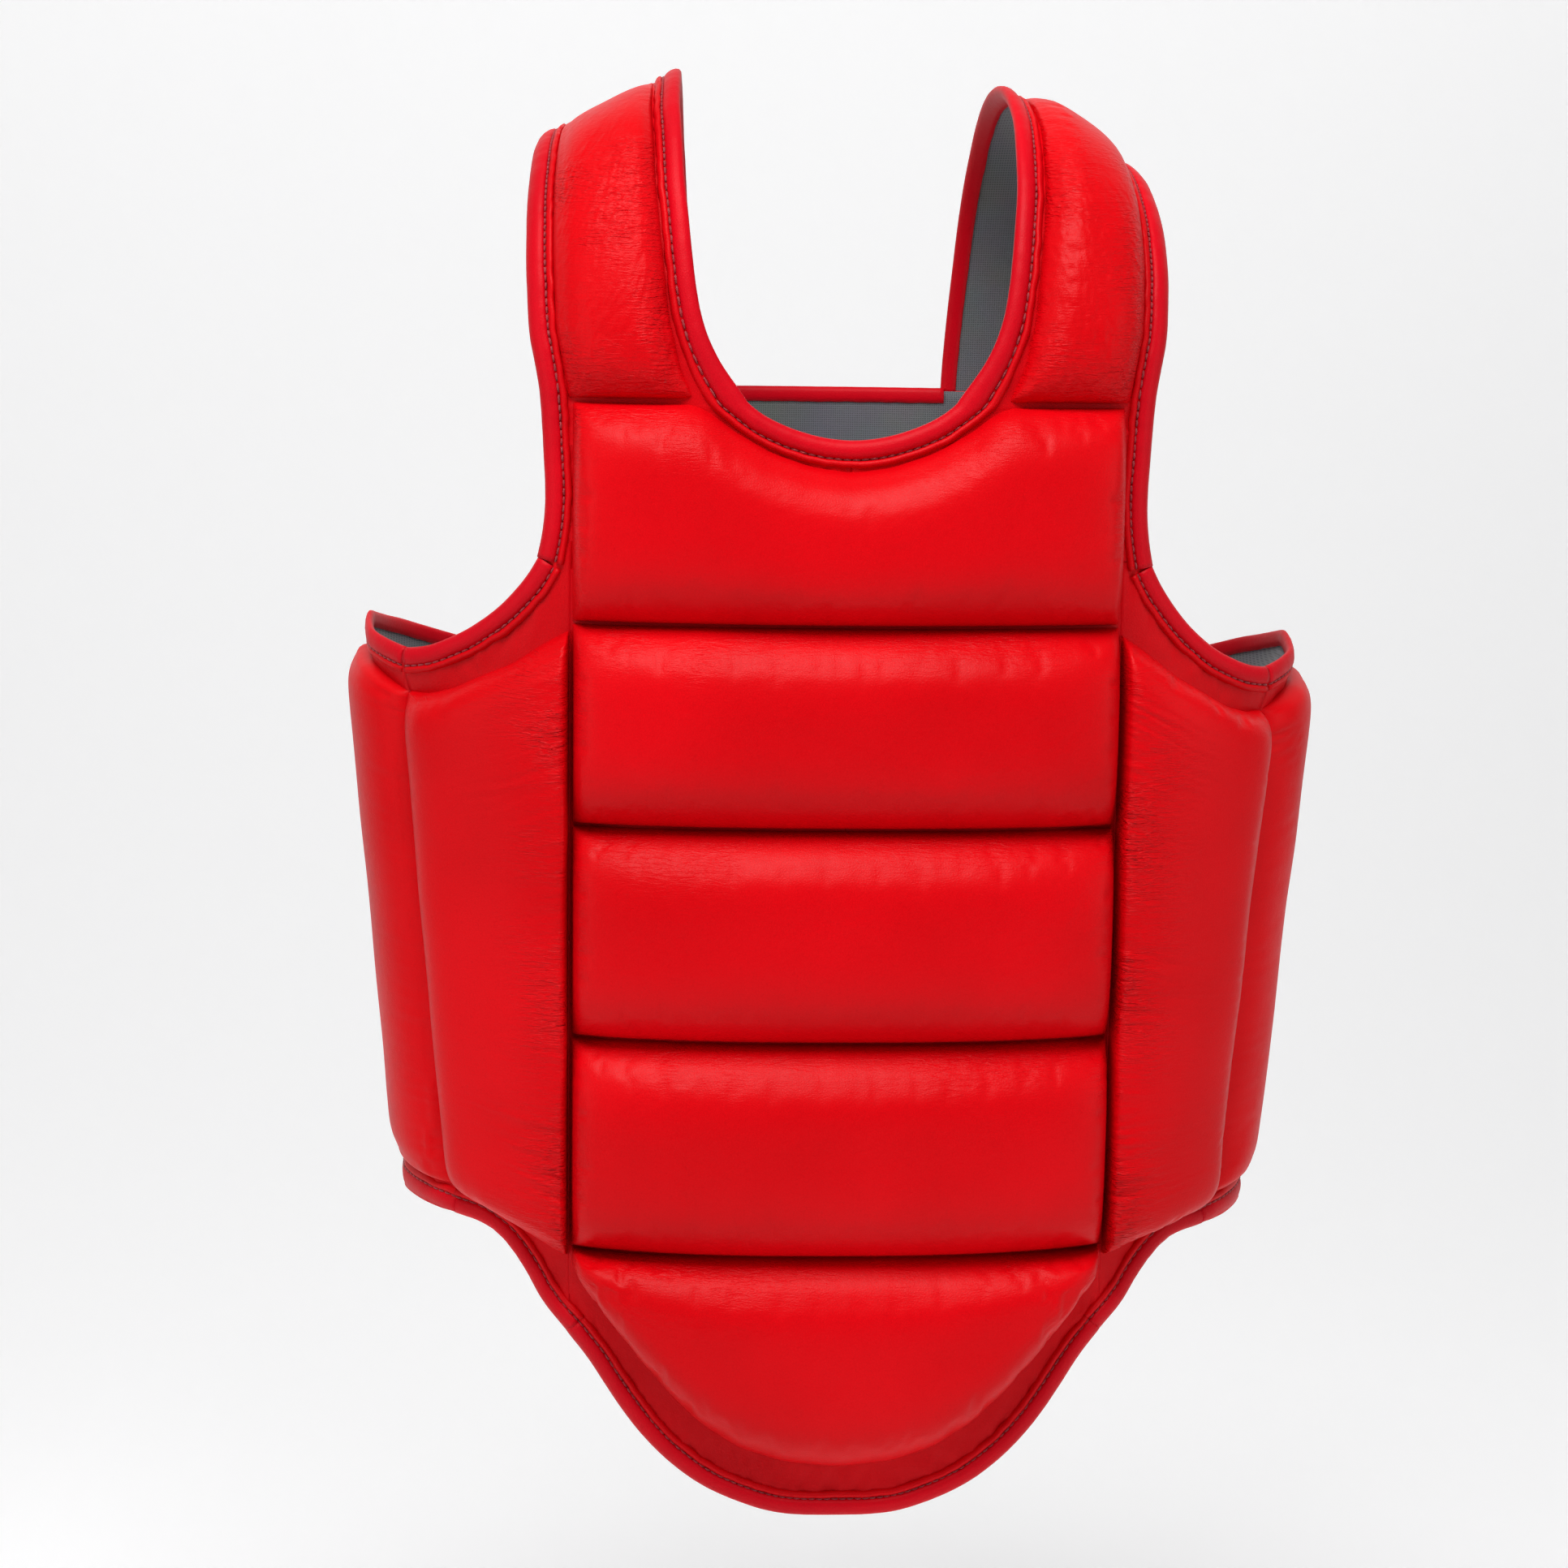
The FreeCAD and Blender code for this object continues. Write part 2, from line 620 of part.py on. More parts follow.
def slab_body(label, sign, x0, x1, names, height_name, z_bottom, round_name=None, skin_name=None):
    body = doc.addObject("PartDesign::Body", label)
    body.Label = label
    sk = new_sketch(body, "XY_Plane", label + "_plan")
    arc_slab(sk, sign, x0, x1, D(names[0]), D(names[1]), names)
    pad = body.newObject("PartDesign::Pad", label + "_pad")
    pad.Profile = sk
    pad.Length = D(height_name)
    pad.setExpression("Length", "dims." + height_name)
    sk.Visibility = False
    doc.recompute()
    if round_name:
        fil = body.newObject("PartDesign::Fillet", label + "_round")
        r_out = D(names[1])
        cy = D("front_centre") if sign < 0 else -D("front_centre")
        edges = []
        for n, e in enumerate(pad.Shape.Edges, start=1):
            mids = [e.valueAt(e.FirstParameter + k * (e.LastParameter - e.FirstParameter))
                    for k in (0.0, 0.5, 1.0)]
            if all(abs(math.hypot(p.x, p.y - cy) - r_out) < 0.05 for p in mids):
                edges.append("Edge%d" % n)
        fil.Base = (pad, edges)
        fil.Radius = D(round_name)
        fil.setExpression("Radius", "dims." + round_name)
        doc.recompute()
        if skin_name:
            th = body.newObject("PartDesign::Thickness", label + "_shell")
            r_in = D(names[0])
            face = None
            for n, f in enumerate(fil.Shape.Faces, start=1):
                c = f.CenterOfMass
                vs_ = [math.hypot(v.X, v.Y - cy) for v in f.Vertexes]
                if len(vs_) == 4 and all(abs(r - r_in) < 0.05 for r in vs_):
                    face = "Face%d" % n
            th.Base = (fil, [face])
            th.Value = D(skin_name)
            th.setExpression("Value", "dims." + skin_name)
            th.Reversed = True
            th.Mode = 0
            th.Join = 0
            doc.recompute()
    body.Placement = Placement(Vector(0, 0, z_bottom), Rotation())
    nodes.append(body)
    return body


# lining of the front column, with the neck cut out of its upper edge
hwn = ("front_radius", "lining_outer", "column_lining_half", "column_lining_half")
fl = slab_body("front_lining", -1, -D("column_lining_half"), D("column_lining_half"), hwn,
               "column_lining_height", S4 + 2.0)
cut = new_sketch(fl, "XZ_Plane", "front_lining_neck")
zt = D("column_lining_height")
pts = [Vector(-47.0, zt + 6, 0), Vector(-47.0, zt - 0.5, 0), Vector(-36.0, zt - 8.0, 0), Vector(-18.0, zt - 15.0, 0),
       Vector(0.0, zt - 17.4, 0), Vector(18.0, zt - 15.0, 0), Vector(36.0, zt - 8.0, 0),
       Vector(47.0, zt - 0.5, 0), Vector(47.0, zt + 6, 0)]
Sk = __import__("Sketcher")
for k in range(len(pts)):
    cut.addGeometry(Part.LineSegment(pts[k], pts[(k + 1) % len(pts)]), False)
for k in range(len(pts)):
    cut.addConstraint(Sk.Constraint("Coincident", k, 2, (k + 1) % len(pts), 1))
pk = fl.newObject("PartDesign::Pocket", "front_lining_neck_cut")
pk.Profile = cut
pk.Type = 1
pk.Midplane = True
doc.recompute()

# yoke and back panel
slab_body("yoke_cover", 1, -D("yoke_half"), D("yoke_half"),
          ("rear_pad_inner", "rear_pad_outer", "yoke_half", "yoke_half"),
          "yoke_height", -D("yoke_top_drop") - D("yoke_height"), "rear_round", "rear_skin")
slab_body("back_panel_cover", 1, -D("panel_half"), D("panel_half"),
          ("rear_pad_inner", "rear_pad_outer", "panel_half", "panel_half"),
          "panel_height", -D("panel_bottom_drop"), "rear_round", "rear_skin")

sheet.set("A90", "yoke_foam_half")
sheet.set("B90", "%.4f" % (D("yoke_half") - 1.7))
sheet.setAlias("B90", "yoke_foam_half")
sheet.set("A91", "yoke_foam_height")
sheet.set("B91", "%.4f" % (D("yoke_height") - 3.4))
sheet.setAlias("B91", "yoke_foam_height")
sheet.set("A92", "panel_foam_half")
sheet.set("B92", "%.4f" % (D("panel_half") - 1.7))
sheet.setAlias("B92", "panel_foam_half")
sheet.set("A93", "panel_foam_height")
sheet.set("B93", "%.4f" % (D("panel_height") - 3.4))
sheet.setAlias("B93", "panel_foam_height")
sheet.set("A94", "yoke_lining_height")
sheet.set("B94", "%.4f" % (D("yoke_height") + 4.0))
sheet.setAlias("B94", "yoke_lining_height")
sheet.set("A95", "panel_lining_height")
sheet.set("B95", "%.4f" % (D("panel_height") + 14.0))
sheet.setAlias("B95", "panel_lining_height")
doc.recompute()

slab_body("yoke_foam", 1, -D("yoke_foam_half"), D("yoke_foam_half"),
          ("rear_foam_inner", "rear_foam_outer", "yoke_foam_half", "yoke_foam_half"),
          "yoke_foam_height", -D("yoke_top_drop") - D("yoke_height") + 1.7, "rear_foam_round")
slab_body("back_panel_foam", 1, -D("panel_foam_half"), D("panel_foam_half"),
          ("rear_foam_inner", "rear_foam_outer", "panel_foam_half", "panel_foam_half"),
          "panel_foam_height", -D("panel_bottom_drop") + 1.7, "rear_foam_round")

# back lining: wide behind the shoulders, narrow down the spine
ylh = D("yoke_lining_height")
bl = slab_body("back_lining", 1, -D("panel_lining_half"), D("panel_lining_half"),
               ("front_radius", "lining_outer", "panel_lining_half", "panel_lining_half"),
               "panel_lining_height", -D("panel_bottom_drop") - 12.0)
yk = new_sketch(bl, "XY_Plane", "back_lining_yoke")
arc_slab(yk, 1, -D("yoke_lining_half"), D("yoke_lining_half"), D("front_radius"), D("lining_outer"),
         ("front_radius", "lining_outer", "yoke_lining_half", "yoke_lining_half"))
yk.AttachmentOffset = Placement(Vector(0, 0, D("panel_lining_height") - 1.0), Rotation())
yk.setExpression("AttachmentOffset.Base.z", "dims.panel_lining_height - 1")
yp = bl.newObject("PartDesign::Pad", "back_lining_yoke_pad")
yp.Profile = yk
yp.Length = ylh
yp.setExpression("Length", "dims.yoke_lining_height")
doc.recompute()


# bindings of the back, on the same bent sheet
def back_sheet(x, z, off):
    r = D("front_radius") + off
    return Vector(x, math.sqrt(r * r - x * x) - D("front_centre"), z)


yb = -D("yoke_top_drop") - D("yoke_height") - 3.0
pb = -D("panel_bottom_drop") - 12.0
rear_outer = [(smooth_table(OUTER_EDGE, w, 3.0), w) for w in
              (CREST + 1.2, 100.0, 125.0, 150.0, 180.0, 210.0, 235.0, 250.0)]
rear_inner = [(smooth_table(NECK_EDGE, w, 3.0), w) for w in
              (CREST + 1.2, 100.0, 125.0, 150.0, 180.0, 210.0, 235.0, 250.0)]
back_solids = []
for pts_, side in ((rear_outer, +1), (rear_inner, -1)):
    s_ = strip(pts_, bw, side, drape, 21)
    back_solids += [s_, mirrored(s_)]
# yoke side, yoke underside, spine side, panel foot
s_ = strip([(130.0, -100.0), (130.0, -140.0), (130.0, yb + 0.0)], bw, +1, back_sheet, 9)
back_solids += [s_, mirrored(s_)]
s_ = strip([(84.0, yb - 1.5), (84.0, -300.0), (84.0, pb + 10.0)], bw, +1, back_sheet, 11)
back_solids += [s_, mirrored(s_)]
back_solids.append(strip([(-84.0, pb), (0.0, pb), (84.0, pb)], bw, +1, back_sheet, 15))
add_shape("back_binding", Part.Compound(back_solids))

# loop patches on the back panel
for side, name in ((1, "left"), (-1, "right")):
    if side > 0:
        slab_body("left_loop_patch", 1, D("loop_from"), D("loop_to"),
                  ("loop_inner", "loop_outer", "loop_from", "loop_to"),
                  "loop_height", -D("loop_bottom_drop"))
    else:
        slab_body("right_loop_patch", 1, -D("loop_to"), -D("loop_from"),
                  ("loop_inner", "loop_outer", "loop_to", "loop_from"),
                  "loop_height", -D("loop_bottom_drop"))


# ------------------------------------------------------- closure straps
def poly_body(label, pts, height_name, z_bottom):
    body = doc.addObject("PartDesign::Body", label)
    body.Label = label
    sk = new_sketch(body, "XY_Plane", label + "_plan")
    n = len(pts)
    for k in range(n):
        sk.addGeometry(Part.LineSegment(Vector(pts[k][0], pts[k][1], 0),
                                        Vector(pts[(k + 1) % n][0], pts[(k + 1) % n][1], 0)), False)
    for k in range(n):
        sk.addConstraint(Sk.Constraint("Coincident", k, 2, (k + 1) % n, 1))
    pad = body.newObject("PartDesign::Pad", label + "_pad")
    pad.Profile = sk
    pad.Length = D(height_name)
    pad.setExpression("Length", "dims." + height_name)
    doc.recompute()
    body.Placement = Placement(Vector(0, 0, z_bottom), Rotation())
    nodes.append(body)
    return body


def thick_line(path, thick):
    """Outline of a band of constant thickness; path is its inner face."""
    left, right = [], []
    n = len(path)
    for i, (x, y) in enumerate(path):
        p = path[max(i - 1, 0)]
        q = path[min(i + 1, n - 1)]
        dx, dy = q[0] - p[0], q[1] - p[1]
        ln = math.hypot(dx, dy)
        nx, ny = dy / ln, -dx / ln
        if ny < 0:
            nx, ny = -nx, -ny
        left.append((x, y))
        right.append((x + nx * thick, y + ny * thick))
    return left + list(reversed(right))


def on_panel(x, r):
    return (x, math.sqrt(r * r - x * x) - D("front_centre"))


st = D("strap_thick")
for level, drop in (("upper", D("upper_strap_drop")), ("lower", D("lower_strap_drop"))):
    zb_ = -drop
    zm = zb_ + D("strap_height") / 2.0
    root = plan_phi(REAR_PHI - 1.2, zm, D("binding_high") + 1.3)
    r = D("loop_outer") + 0.75
    q1, q2, q3 = on_panel(72.0, r + 0.6), on_panel(60.0, r), on_panel(48.0, r)
    m1 = (root.x * 0.62 + q1[0] * 0.38, root.y * 0.62 + q1[1] * 0.38 + 3.0)
    m2 = (root.x * 0.28 + q1[0] * 0.72, root.y * 0.28 + q1[1] * 0.72 + 3.2)
    path = [(root.x, root.y), m1, m2, q1, q2, q3]
    tab_path = [q3, on_panel(36.0, r), on_panel(24.0, r), on_panel(12.0, r)]
    tab_path[0] = (q3[0] - 0.05, q3[1])
    for side, name in ((1, "left"), (-1, "right")):
        out = [(side * x, y) for x, y in thick_line(path, st)]
        poly_body("%s_%s_strap" % (name, level), out, "strap_height", zb_)
        out = [(side * x, y) for x, y in thick_line(tab_path, D("tab_thick"))]
        poly_body("%s_%s_hook_tab" % (name, level), out, "tab_height",
                  zb_ - (D("tab_height") - D("strap_height")) / 2.0)
    print("STRAP", level, "hinge at", round(root.x, 2), round(root.y, 2), "z", zb_)

doc.recompute()

# hinge lines, for the joints of the assembly
h_off = 3.0
for label, f, za, zc in (("side_front", None, -200.0, -474.0),):
    p = drape(ch, za, h_off)
    q = drape(ch, zc, h_off)
    print("HINGE side_front", tuple(round(v, 2) for v in p), tuple(round(v, 2) for v in q))
p = plan_phi(seam2_phi(-225.0), -225.0, h_off)
q = plan_phi(seam2_phi(-465.0), -465.0, h_off)
print("HINGE side_rear", tuple(round(v, 2) for v in p), tuple(round(v, 2) for v in q))

# ------------------------------------------------------------------ checks
bad = []
for ob in doc.Objects:
    if any(w in ("Invalid", "Error") for w in ob.State):
        bad.append("%s: %s" % (ob.Name, ob.State))
seen = set()
for nd in nodes:
    s_ = nd.Shape
    if s_.isNull() or not s_.isValid():
        bad.append("%s: shape null or not valid" % nd.Label)
    elif s_.Volume < 1.0:
        bad.append("%s: volume %.3f" % (nd.Label, s_.Volume))
    if nd.Label in seen:
        bad.append("%s: label used twice" % nd.Label)
    seen.add(nd.Label)
if bad:
    raise RuntimeError("model is not sound:\n" + "\n".join(bad))

for nd in nodes:
    nd.Shape.exportStep("parts/%s.step" % nd.Label)
print("nodes", len(nodes))
box = None
for nd in nodes:
    b_ = nd.Shape.BoundBox
    box = b_ if box is None else box.united(b_)
print("box", [round(v, 1) for v in (box.XMin, box.YMin, box.ZMin, box.XMax, box.YMax, box.ZMax)])
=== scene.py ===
import math

import bpy
import numpy as np
from mathutils import Matrix, Vector


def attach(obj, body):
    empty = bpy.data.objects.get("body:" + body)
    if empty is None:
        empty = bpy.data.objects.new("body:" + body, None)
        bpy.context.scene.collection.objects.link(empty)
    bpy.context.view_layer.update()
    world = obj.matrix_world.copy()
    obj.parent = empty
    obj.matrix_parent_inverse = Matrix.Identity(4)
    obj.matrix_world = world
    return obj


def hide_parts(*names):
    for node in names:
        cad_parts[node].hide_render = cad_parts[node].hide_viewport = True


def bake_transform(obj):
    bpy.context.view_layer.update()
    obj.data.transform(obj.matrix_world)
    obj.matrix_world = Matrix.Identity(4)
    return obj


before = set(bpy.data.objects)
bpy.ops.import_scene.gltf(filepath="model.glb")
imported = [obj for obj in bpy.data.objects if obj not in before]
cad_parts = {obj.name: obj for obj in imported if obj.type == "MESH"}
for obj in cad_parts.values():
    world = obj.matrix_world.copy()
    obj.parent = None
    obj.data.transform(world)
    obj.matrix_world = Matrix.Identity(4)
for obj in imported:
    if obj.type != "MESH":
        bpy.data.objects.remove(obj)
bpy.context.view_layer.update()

# Padded trunk guard. Lengths in the helpers are millimetres, and mesh() turns them into metres.
# +X is the wearer's left, -Y the front, +Z up. z = 0 is where the straps rest.

# ----------------------------------------------------------------- surface
B, NP, SP, RUN, Z0, LIN = 112.0, 2.5, 2.2, 175.0, -98.0, 1.8
CREST = Z0 + RUN
S1, S2, S3, S4 = -193.5, -282.0, -377.0, -474.0


def half_width(z):
    k = np.clip((-230.0 - z) / 230.0, 0.0, 1.15)
    return 200.0 - 20.0 * k


def spow(v, p):
    return np.sign(v) * np.abs(v) ** p


def plan_phi(phi, z, off):
    a = half_width(z) + off
    r = np.radians(phi)
    return np.stack([a * spow(np.sin(r), 2 / NP), -(B + off) * spow(np.cos(r), 2 / NP),
                     z + 0.0 * off + 0.0 * phi], -1)


_PH = np.arange(0, 180.01, 0.5)


def _acc(a):
    r = np.radians(_PH)
    x, y = a * spow(np.sin(r), 2 / NP), -B * spow(np.cos(r), 2 / NP)
    return np.concatenate([[0], np.cumsum(np.hypot(np.diff(x), np.diff(y)))])


_ACC_A = np.arange(174.0, 206.0, 2.0)
_ACC_T = np.array([_acc(a) for a in _ACC_A])


def arc_of_phi(phi, z):
    """Length round the lining from the front centre line."""
    phi, a = np.broadcast_arrays(np.asarray(phi, float), half_width(np.asarray(z, float)))
    fa = (a - _ACC_A[0]) / 2.0
    ia = np.clip(fa.astype(int), 0, len(_ACC_A) - 2)
    fa = fa - ia
    fp = phi / 0.5
    ip = np.clip(fp.astype(int), 0, len(_PH) - 2)
    fp = fp - ip
    T = _ACC_T
    return ((T[ia, ip] * (1 - fp) + T[ia, ip + 1] * fp) * (1 - fa)
            + (T[ia + 1, ip] * (1 - fp) + T[ia + 1, ip + 1] * fp) * fa)


def phi_of_arc(q, z):
    q, z = np.broadcast_arrays(np.asarray(q, float), np.asarray(z, float))
    lo, hi = np.zeros(q.shape), np.full(q.shape, 179.9)
    for _ in range(34):
        mid = (lo + hi) / 2
        below = arc_of_phi(mid, z) < q
        lo, hi = np.where(below, mid, lo), np.where(below, hi, mid)
    return (lo + hi) / 2


def plan_normal(x, y, z):
    a = half_width(z)
    nx, ny = np.sign(x) * np.abs(x / a) ** 1.5 / a, np.sign(y) * np.abs(y / B) ** 1.5 / B
    m = np.hypot(nx, ny)
    return nx / m, ny / m


def wrap(q, z, off):
    """Point at arc length q round the lining, raised by off along its normal."""
    q, z, off = np.broadcast_arrays(*[np.asarray(t, float) for t in (q, z, off)])
    p = plan_phi(phi_of_arc(q, z), z, 0.0)
    nx, ny = plan_normal(p[..., 0], p[..., 1], z)
    # straight forward at the front seams, square to the lining further round
    t = np.clip((p[..., 0] - 120.0) / 34.0, 0, 1)
    nx = np.where(p[..., 1] < 0, nx * t * t * (3 - 2 * t), nx)
    m = np.hypot(nx, ny)
    return np.stack([p[..., 0] + nx / m * off, p[..., 1] + ny / m * off, z], -1)


def depth(x, z, off):
    a = half_width(z) + off
    r = np.minimum(np.abs(x) / a, 0.999)
    return (B + off) * (1 - r ** NP) ** (1 / NP)


def drape(x, w, off):
    """Front column, over the shoulder and down the back, as one long band."""
    x, w, off = np.broadcast_arrays(*[np.asarray(t, float) for t in (x, w, off)])
    psi = np.radians(np.clip((w - Z0) / RUN * 90.0, 0.0, 180.0))
    e = 2 / SP
    y = -depth(x, np.where(w < Z0, w, Z0), off) * spow(np.cos(psi), e)
    rise = 39.0 - 0.50 * (np.abs(x) - 72.0) - Z0
    z = Z0 + (rise + off) * np.abs(np.sin(psi)) ** e
    z = np.where(w < Z0, w, z)
    over = w - (Z0 + 2 * RUN)
    z = np.where(over > 0, Z0 - over, z)
    y = np.where(over > 0, depth(x, np.full(x.shape, Z0), off), y)
    return np.stack([x, y, z], -1)


def back_sheet(x, z, off):
    x, z, off = np.broadcast_arrays(*[np.asarray(t, float) for t in (x, z, off)])
    r = 398.0 + off
    return np.stack([x, np.sqrt(r * r - x * x) - 286.0, z], -1)


def tab(table):
    t = np.array(table, float)

    def f(v, h=4.0):
        v = np.asarray(v, float)
        g = lambda s: np.interp(s, t[:, 0], t[:, 1])
        return (g(v - h) + 2 * g(v - h / 2) + 2 * g(v) + 2 * g(v + h / 2) + g(v + h)) / 8.0
    return f


NECK_EDGE = tab([(-98.0, 47.0), (-93.7, 53.0), (-88.5, 58.0), (-82.0, 62.5), (-76.0, 65.3),
                 (-69.6, 67.3), (-56.0, 69.6), (-44.5, 70.9), (-23.0, 73.3), (21.6, 74.8),
                 (77.0, 73.0), (150.0, 70.0), (210.0, 66.0), (252.0, 62.0)])
OUTER_EDGE = tab([(-98.0, 131.5), (-72.0, 137.0), (-40.0, 138.5), (-7.0, 138.5), (40.0, 136.5),
                  (77.0, 134.0), (150.0, 133.0), (252.0, 131.0)])
NECK_PAD = tab([(0.0, -127.0), (17.0, -124.7), (35.0, -118.6), (52.0, -109.0), (60.0, -102.5),
                (68.0, -98.8), (120.0, -98.6)])
HEM_PTS = [(0.0, -594.0), (20.0, -593.8), (35.0, -591.0), (58.0, -582.0), (74.0, -570.7), (86.0, -559.0),
           (95.0, -547.7), (103.0, -536.0), (110.5, -524.7), (121.0, -513.0)]
HEM_SIDE = [(121.0, -513.0), (133.0, -502.0), (140.0, -490.0), (149.0, -479.0),
            (164.0, -471.5), (190.0, -469.0), (260.0, -468.0), (330.0, -465.0), (400.0, -461.0)]
RIM_SIDE = [(122.0, -150.0), (130.0, -160.0), (139.5, -174.5), (146.5, -184.5), (155.5, -194.5), (171.0, -205.5),
            (200.0, -217.5), (230.0, -213.0), (262.0, -206.0), (300.0, -213.0), (345.0, -226.0),
            (400.0, -232.0)]
PAD_TOP = tab([(120.0, -196.0), (134.0, -204.5), (146.0, -214.0), (172.0, -227.5), (190.0, -232.5), (203.0, -232.0),
               (228.0, -223.5), (262.0, -217.0), (300.0, -226.0), (345.0, -240.0), (400.0, -244.0)])
PAD_LOW = tab([(120.0, -480.5), (138.0, -471.5), (154.0, -464.0), (172.0, -459.0), (205.0, -457.5),
               (262.0, -455.0), (400.0, -452.0)])
APRON_LOW = tab([(0.0, -571.0), (24.0, -568.5), (44.0, -562.0), (61.0, -551.0), (74.5, -538.0),
                 (87.0, -523.0), (99.0, -507.0), (110.5, -492.0), (119.0, -481.0)])


RIM_Z = tab([(120.0, -146.0), (129.0, -158.0), (139.5, -176.0), (155.5, -194.5), (171.0, -205.0),
             (187.0, -212.0), (201.0, -214.5), (231.0, -209.0), (259.0, -203.0), (301.0, -212.0), (346.0, -226.0),
             (401.0, -232.0)])
HEM_Z = tab(HEM_SIDE)


def seam1(z):
    a = half_width(z)
    return arc_of_phi(np.degrees(np.arcsin((120.0 / a) ** (NP / 2))), z)


def seam2(z):
    return arc_of_phi(65.6 + (z + 234.0) / (-223.0) * (62.8 - 65.6), z)


def flare(q, z):
    """How far the free edges of a side wing stand off the wearer."""
    def ez(t):
        t = np.clip(t, 0, 1)
        return t * t * (3 - 2 * t)
    top = np.interp(q, [150.0, 168.0, 190.0, 230.0, 262.0, 300.0, 345.0], [0.0, 1.0, 6.0, 13.0, 13.0, 8.0, 2.0])
    low = np.interp(q, [140.0, 160.0, 185.0, 220.0, 262.0, 300.0, 345.0], [0.0, 2.5, 11.0, 19.0, 19.0, 10.0, 2.0])
    return top * ez((z - RIM_Z(q) + 40.0) / 36.0) + low * ez((HEM_Z(q) + 38.0 - z) / 36.0)


def wing(q, z, off):
    return wrap(q, z, off + flare(q, z) * (1 - 0.9 * np.clip(np.asarray(off, float) / 22.0, 0, 1)))


# ------------------------------------------------------------------- noise
def _h(ix, iy, seed):
    v = (ix.astype(np.int64) * 374761393 + iy.astype(np.int64) * 668265263 + seed * 1442695041) & 0xFFFFFFFF
    v = ((v ^ (v >> 13)) * 1274126177) & 0xFFFFFFFF
    return ((v ^ (v >> 16)) & 0xFFFF) / 65535.0 * 2 * math.pi


def noise(x, y, seed):
    """Smooth gradient noise, about -1 to 1."""
    x, y = np.broadcast_arrays(np.asarray(x, float), np.asarray(y, float))
    ix, iy = np.floor(x), np.floor(y)
    fx, fy = x - ix, y - iy
    sx, sy = fx ** 3 * (fx * (fx * 6 - 15) + 10), fy ** 3 * (fy * (fy * 6 - 15) + 10)

    def g(a, b):
        t = _h(ix + a, iy + b, seed)
        return np.cos(t) * (fx - a) + np.sin(t) * (fy - b)
    n0 = g(0, 0) * (1 - sx) + g(1, 0) * sx
    n1 = g(0, 1) * (1 - sx) + g(1, 1) * sx
    return (n0 * (1 - sy) + n1 * sy) * 1.5


def folds(x, y, seed, sharp=0.16):
    """Narrow crease lines where the noise crosses zero, 0 to 1."""
    n = noise(x, y, seed)
    return np.exp(-(n / sharp) ** 2)


def prof(t, p, e):
    return np.clip(1 - np.abs(t) ** p, 0, 1) ** e


def ease(t):
    t = np.clip(t, 0, 1)
    return t * t * (3 - 2 * t)


# ------------------------------------------------------------------ meshes
def settle(v):
    """The small unevenness of a sewn, worn piece: one wing and one shoulder sit higher."""
    x, y, z = v[:, 0], v[:, 1], v[:, 2]
    ax_ = np.abs(x)
    side = np.sign(x) * ease((ax_ - 112.0) / 60.0) * ease((-120.0 - z) / 60.0)
    dz = -3.0 * side
    sh = ease((z + 75.0) / 90.0)
    dz = dz + sh * np.where(x < 0, 5.0, -0.10 * (ax_ - 72.0))
    return np.stack([x, y, z + dz], -1)


def signed_volume(v, faces):
    q = np.array([f for f in faces if len(f) == 4])
    a, b, c, d = (v[q[:, k]] - v.mean(0) for k in range(4))
    return float(np.einsum("ij,ij->i", a, np.cross(b, c) + np.cross(c, d)).sum())


def mesh(name, verts, faces, mat, body=None, smooth=True, mirror=False):
    v = np.array(verts, float).reshape(-1, 3)
    if mirror:
        v = v * np.array([-1, 1, 1.0])
        faces = [tuple(reversed(f)) for f in faces]
    if signed_volume(v, faces) < 0:
        faces = [tuple(reversed(f)) for f in faces]
    v = settle(v) * 0.001
    me = bpy.data.meshes.new(name)
    me.from_pydata(v.tolist(), [], faces)
    me.update()
    if smooth:
        me.polygons.foreach_set("use_smooth", [True] * len(me.polygons))
    me.materials.append(mat)
    ob = bpy.data.objects.new(name, me)
    bpy.context.scene.collection.objects.link(ob)
    if body:
        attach(ob, body)
    return ob


def slab_faces(nu, nv):
    """Faces of a closed slab: an outer grid, then an inner grid of the same size."""
    n = nu * nv
    f = []
    for i in range(nu - 1):
        for j in range(nv - 1):
            a, b, c, d = i * nv + j, (i + 1) * nv + j, (i + 1) * nv + j + 1, i * nv + j + 1
            f.append((a, b, c, d))
            f.append((n + d, n + c, n + b, n + a))
    for i in range(nu - 1):
        a, b = i * nv, (i + 1) * nv
        f.append((b, a, n + a, n + b))
        a, b = i * nv + nv - 1, (i + 1) * nv + nv - 1
        f.append((a, b, n + b, n + a))
    for j in range(nv - 1):
        a, b = j, j + 1
        f.append((a, b, n + b, n + a))
        a, b = (nu - 1) * nv + j, (nu - 1) * nv + j + 1
        f.append((b, a, n + a, n + b))
    return f


def slab(name, outer, inner, mat, body=None, mirror=False):
    nu, nv = outer.shape[:2]
    return mesh(name, np.concatenate([outer.reshape(-1, 3), inner.reshape(-1, 3)]),
                slab_faces(nu, nv), mat, body, True, mirror)


def uv_grid(nu, nv, k=0.35):
    def line(n):
        t = np.linspace(-1, 1, n)
        return (1 - k) * t + k * np.sin(np.pi / 2 * t)
    return np.meshgrid(line(nu), line(nv), indexing="ij")


# --------------------------------------------------------------- materials
def tree(name):
    m = bpy.data.materials.new(name)
    m.use_nodes = True
    t = m.node_tree
    return m, t, t.nodes["Principled BSDF"]


def node(t, kind, loc=(0, 0), **vals):
    n = t.nodes.new(kind)
    n.location = loc
    for k, v in vals.items():
        if k in n.inputs:
            n.inputs[k].default_value = v
        else:
            setattr(n, k, v)
    return n


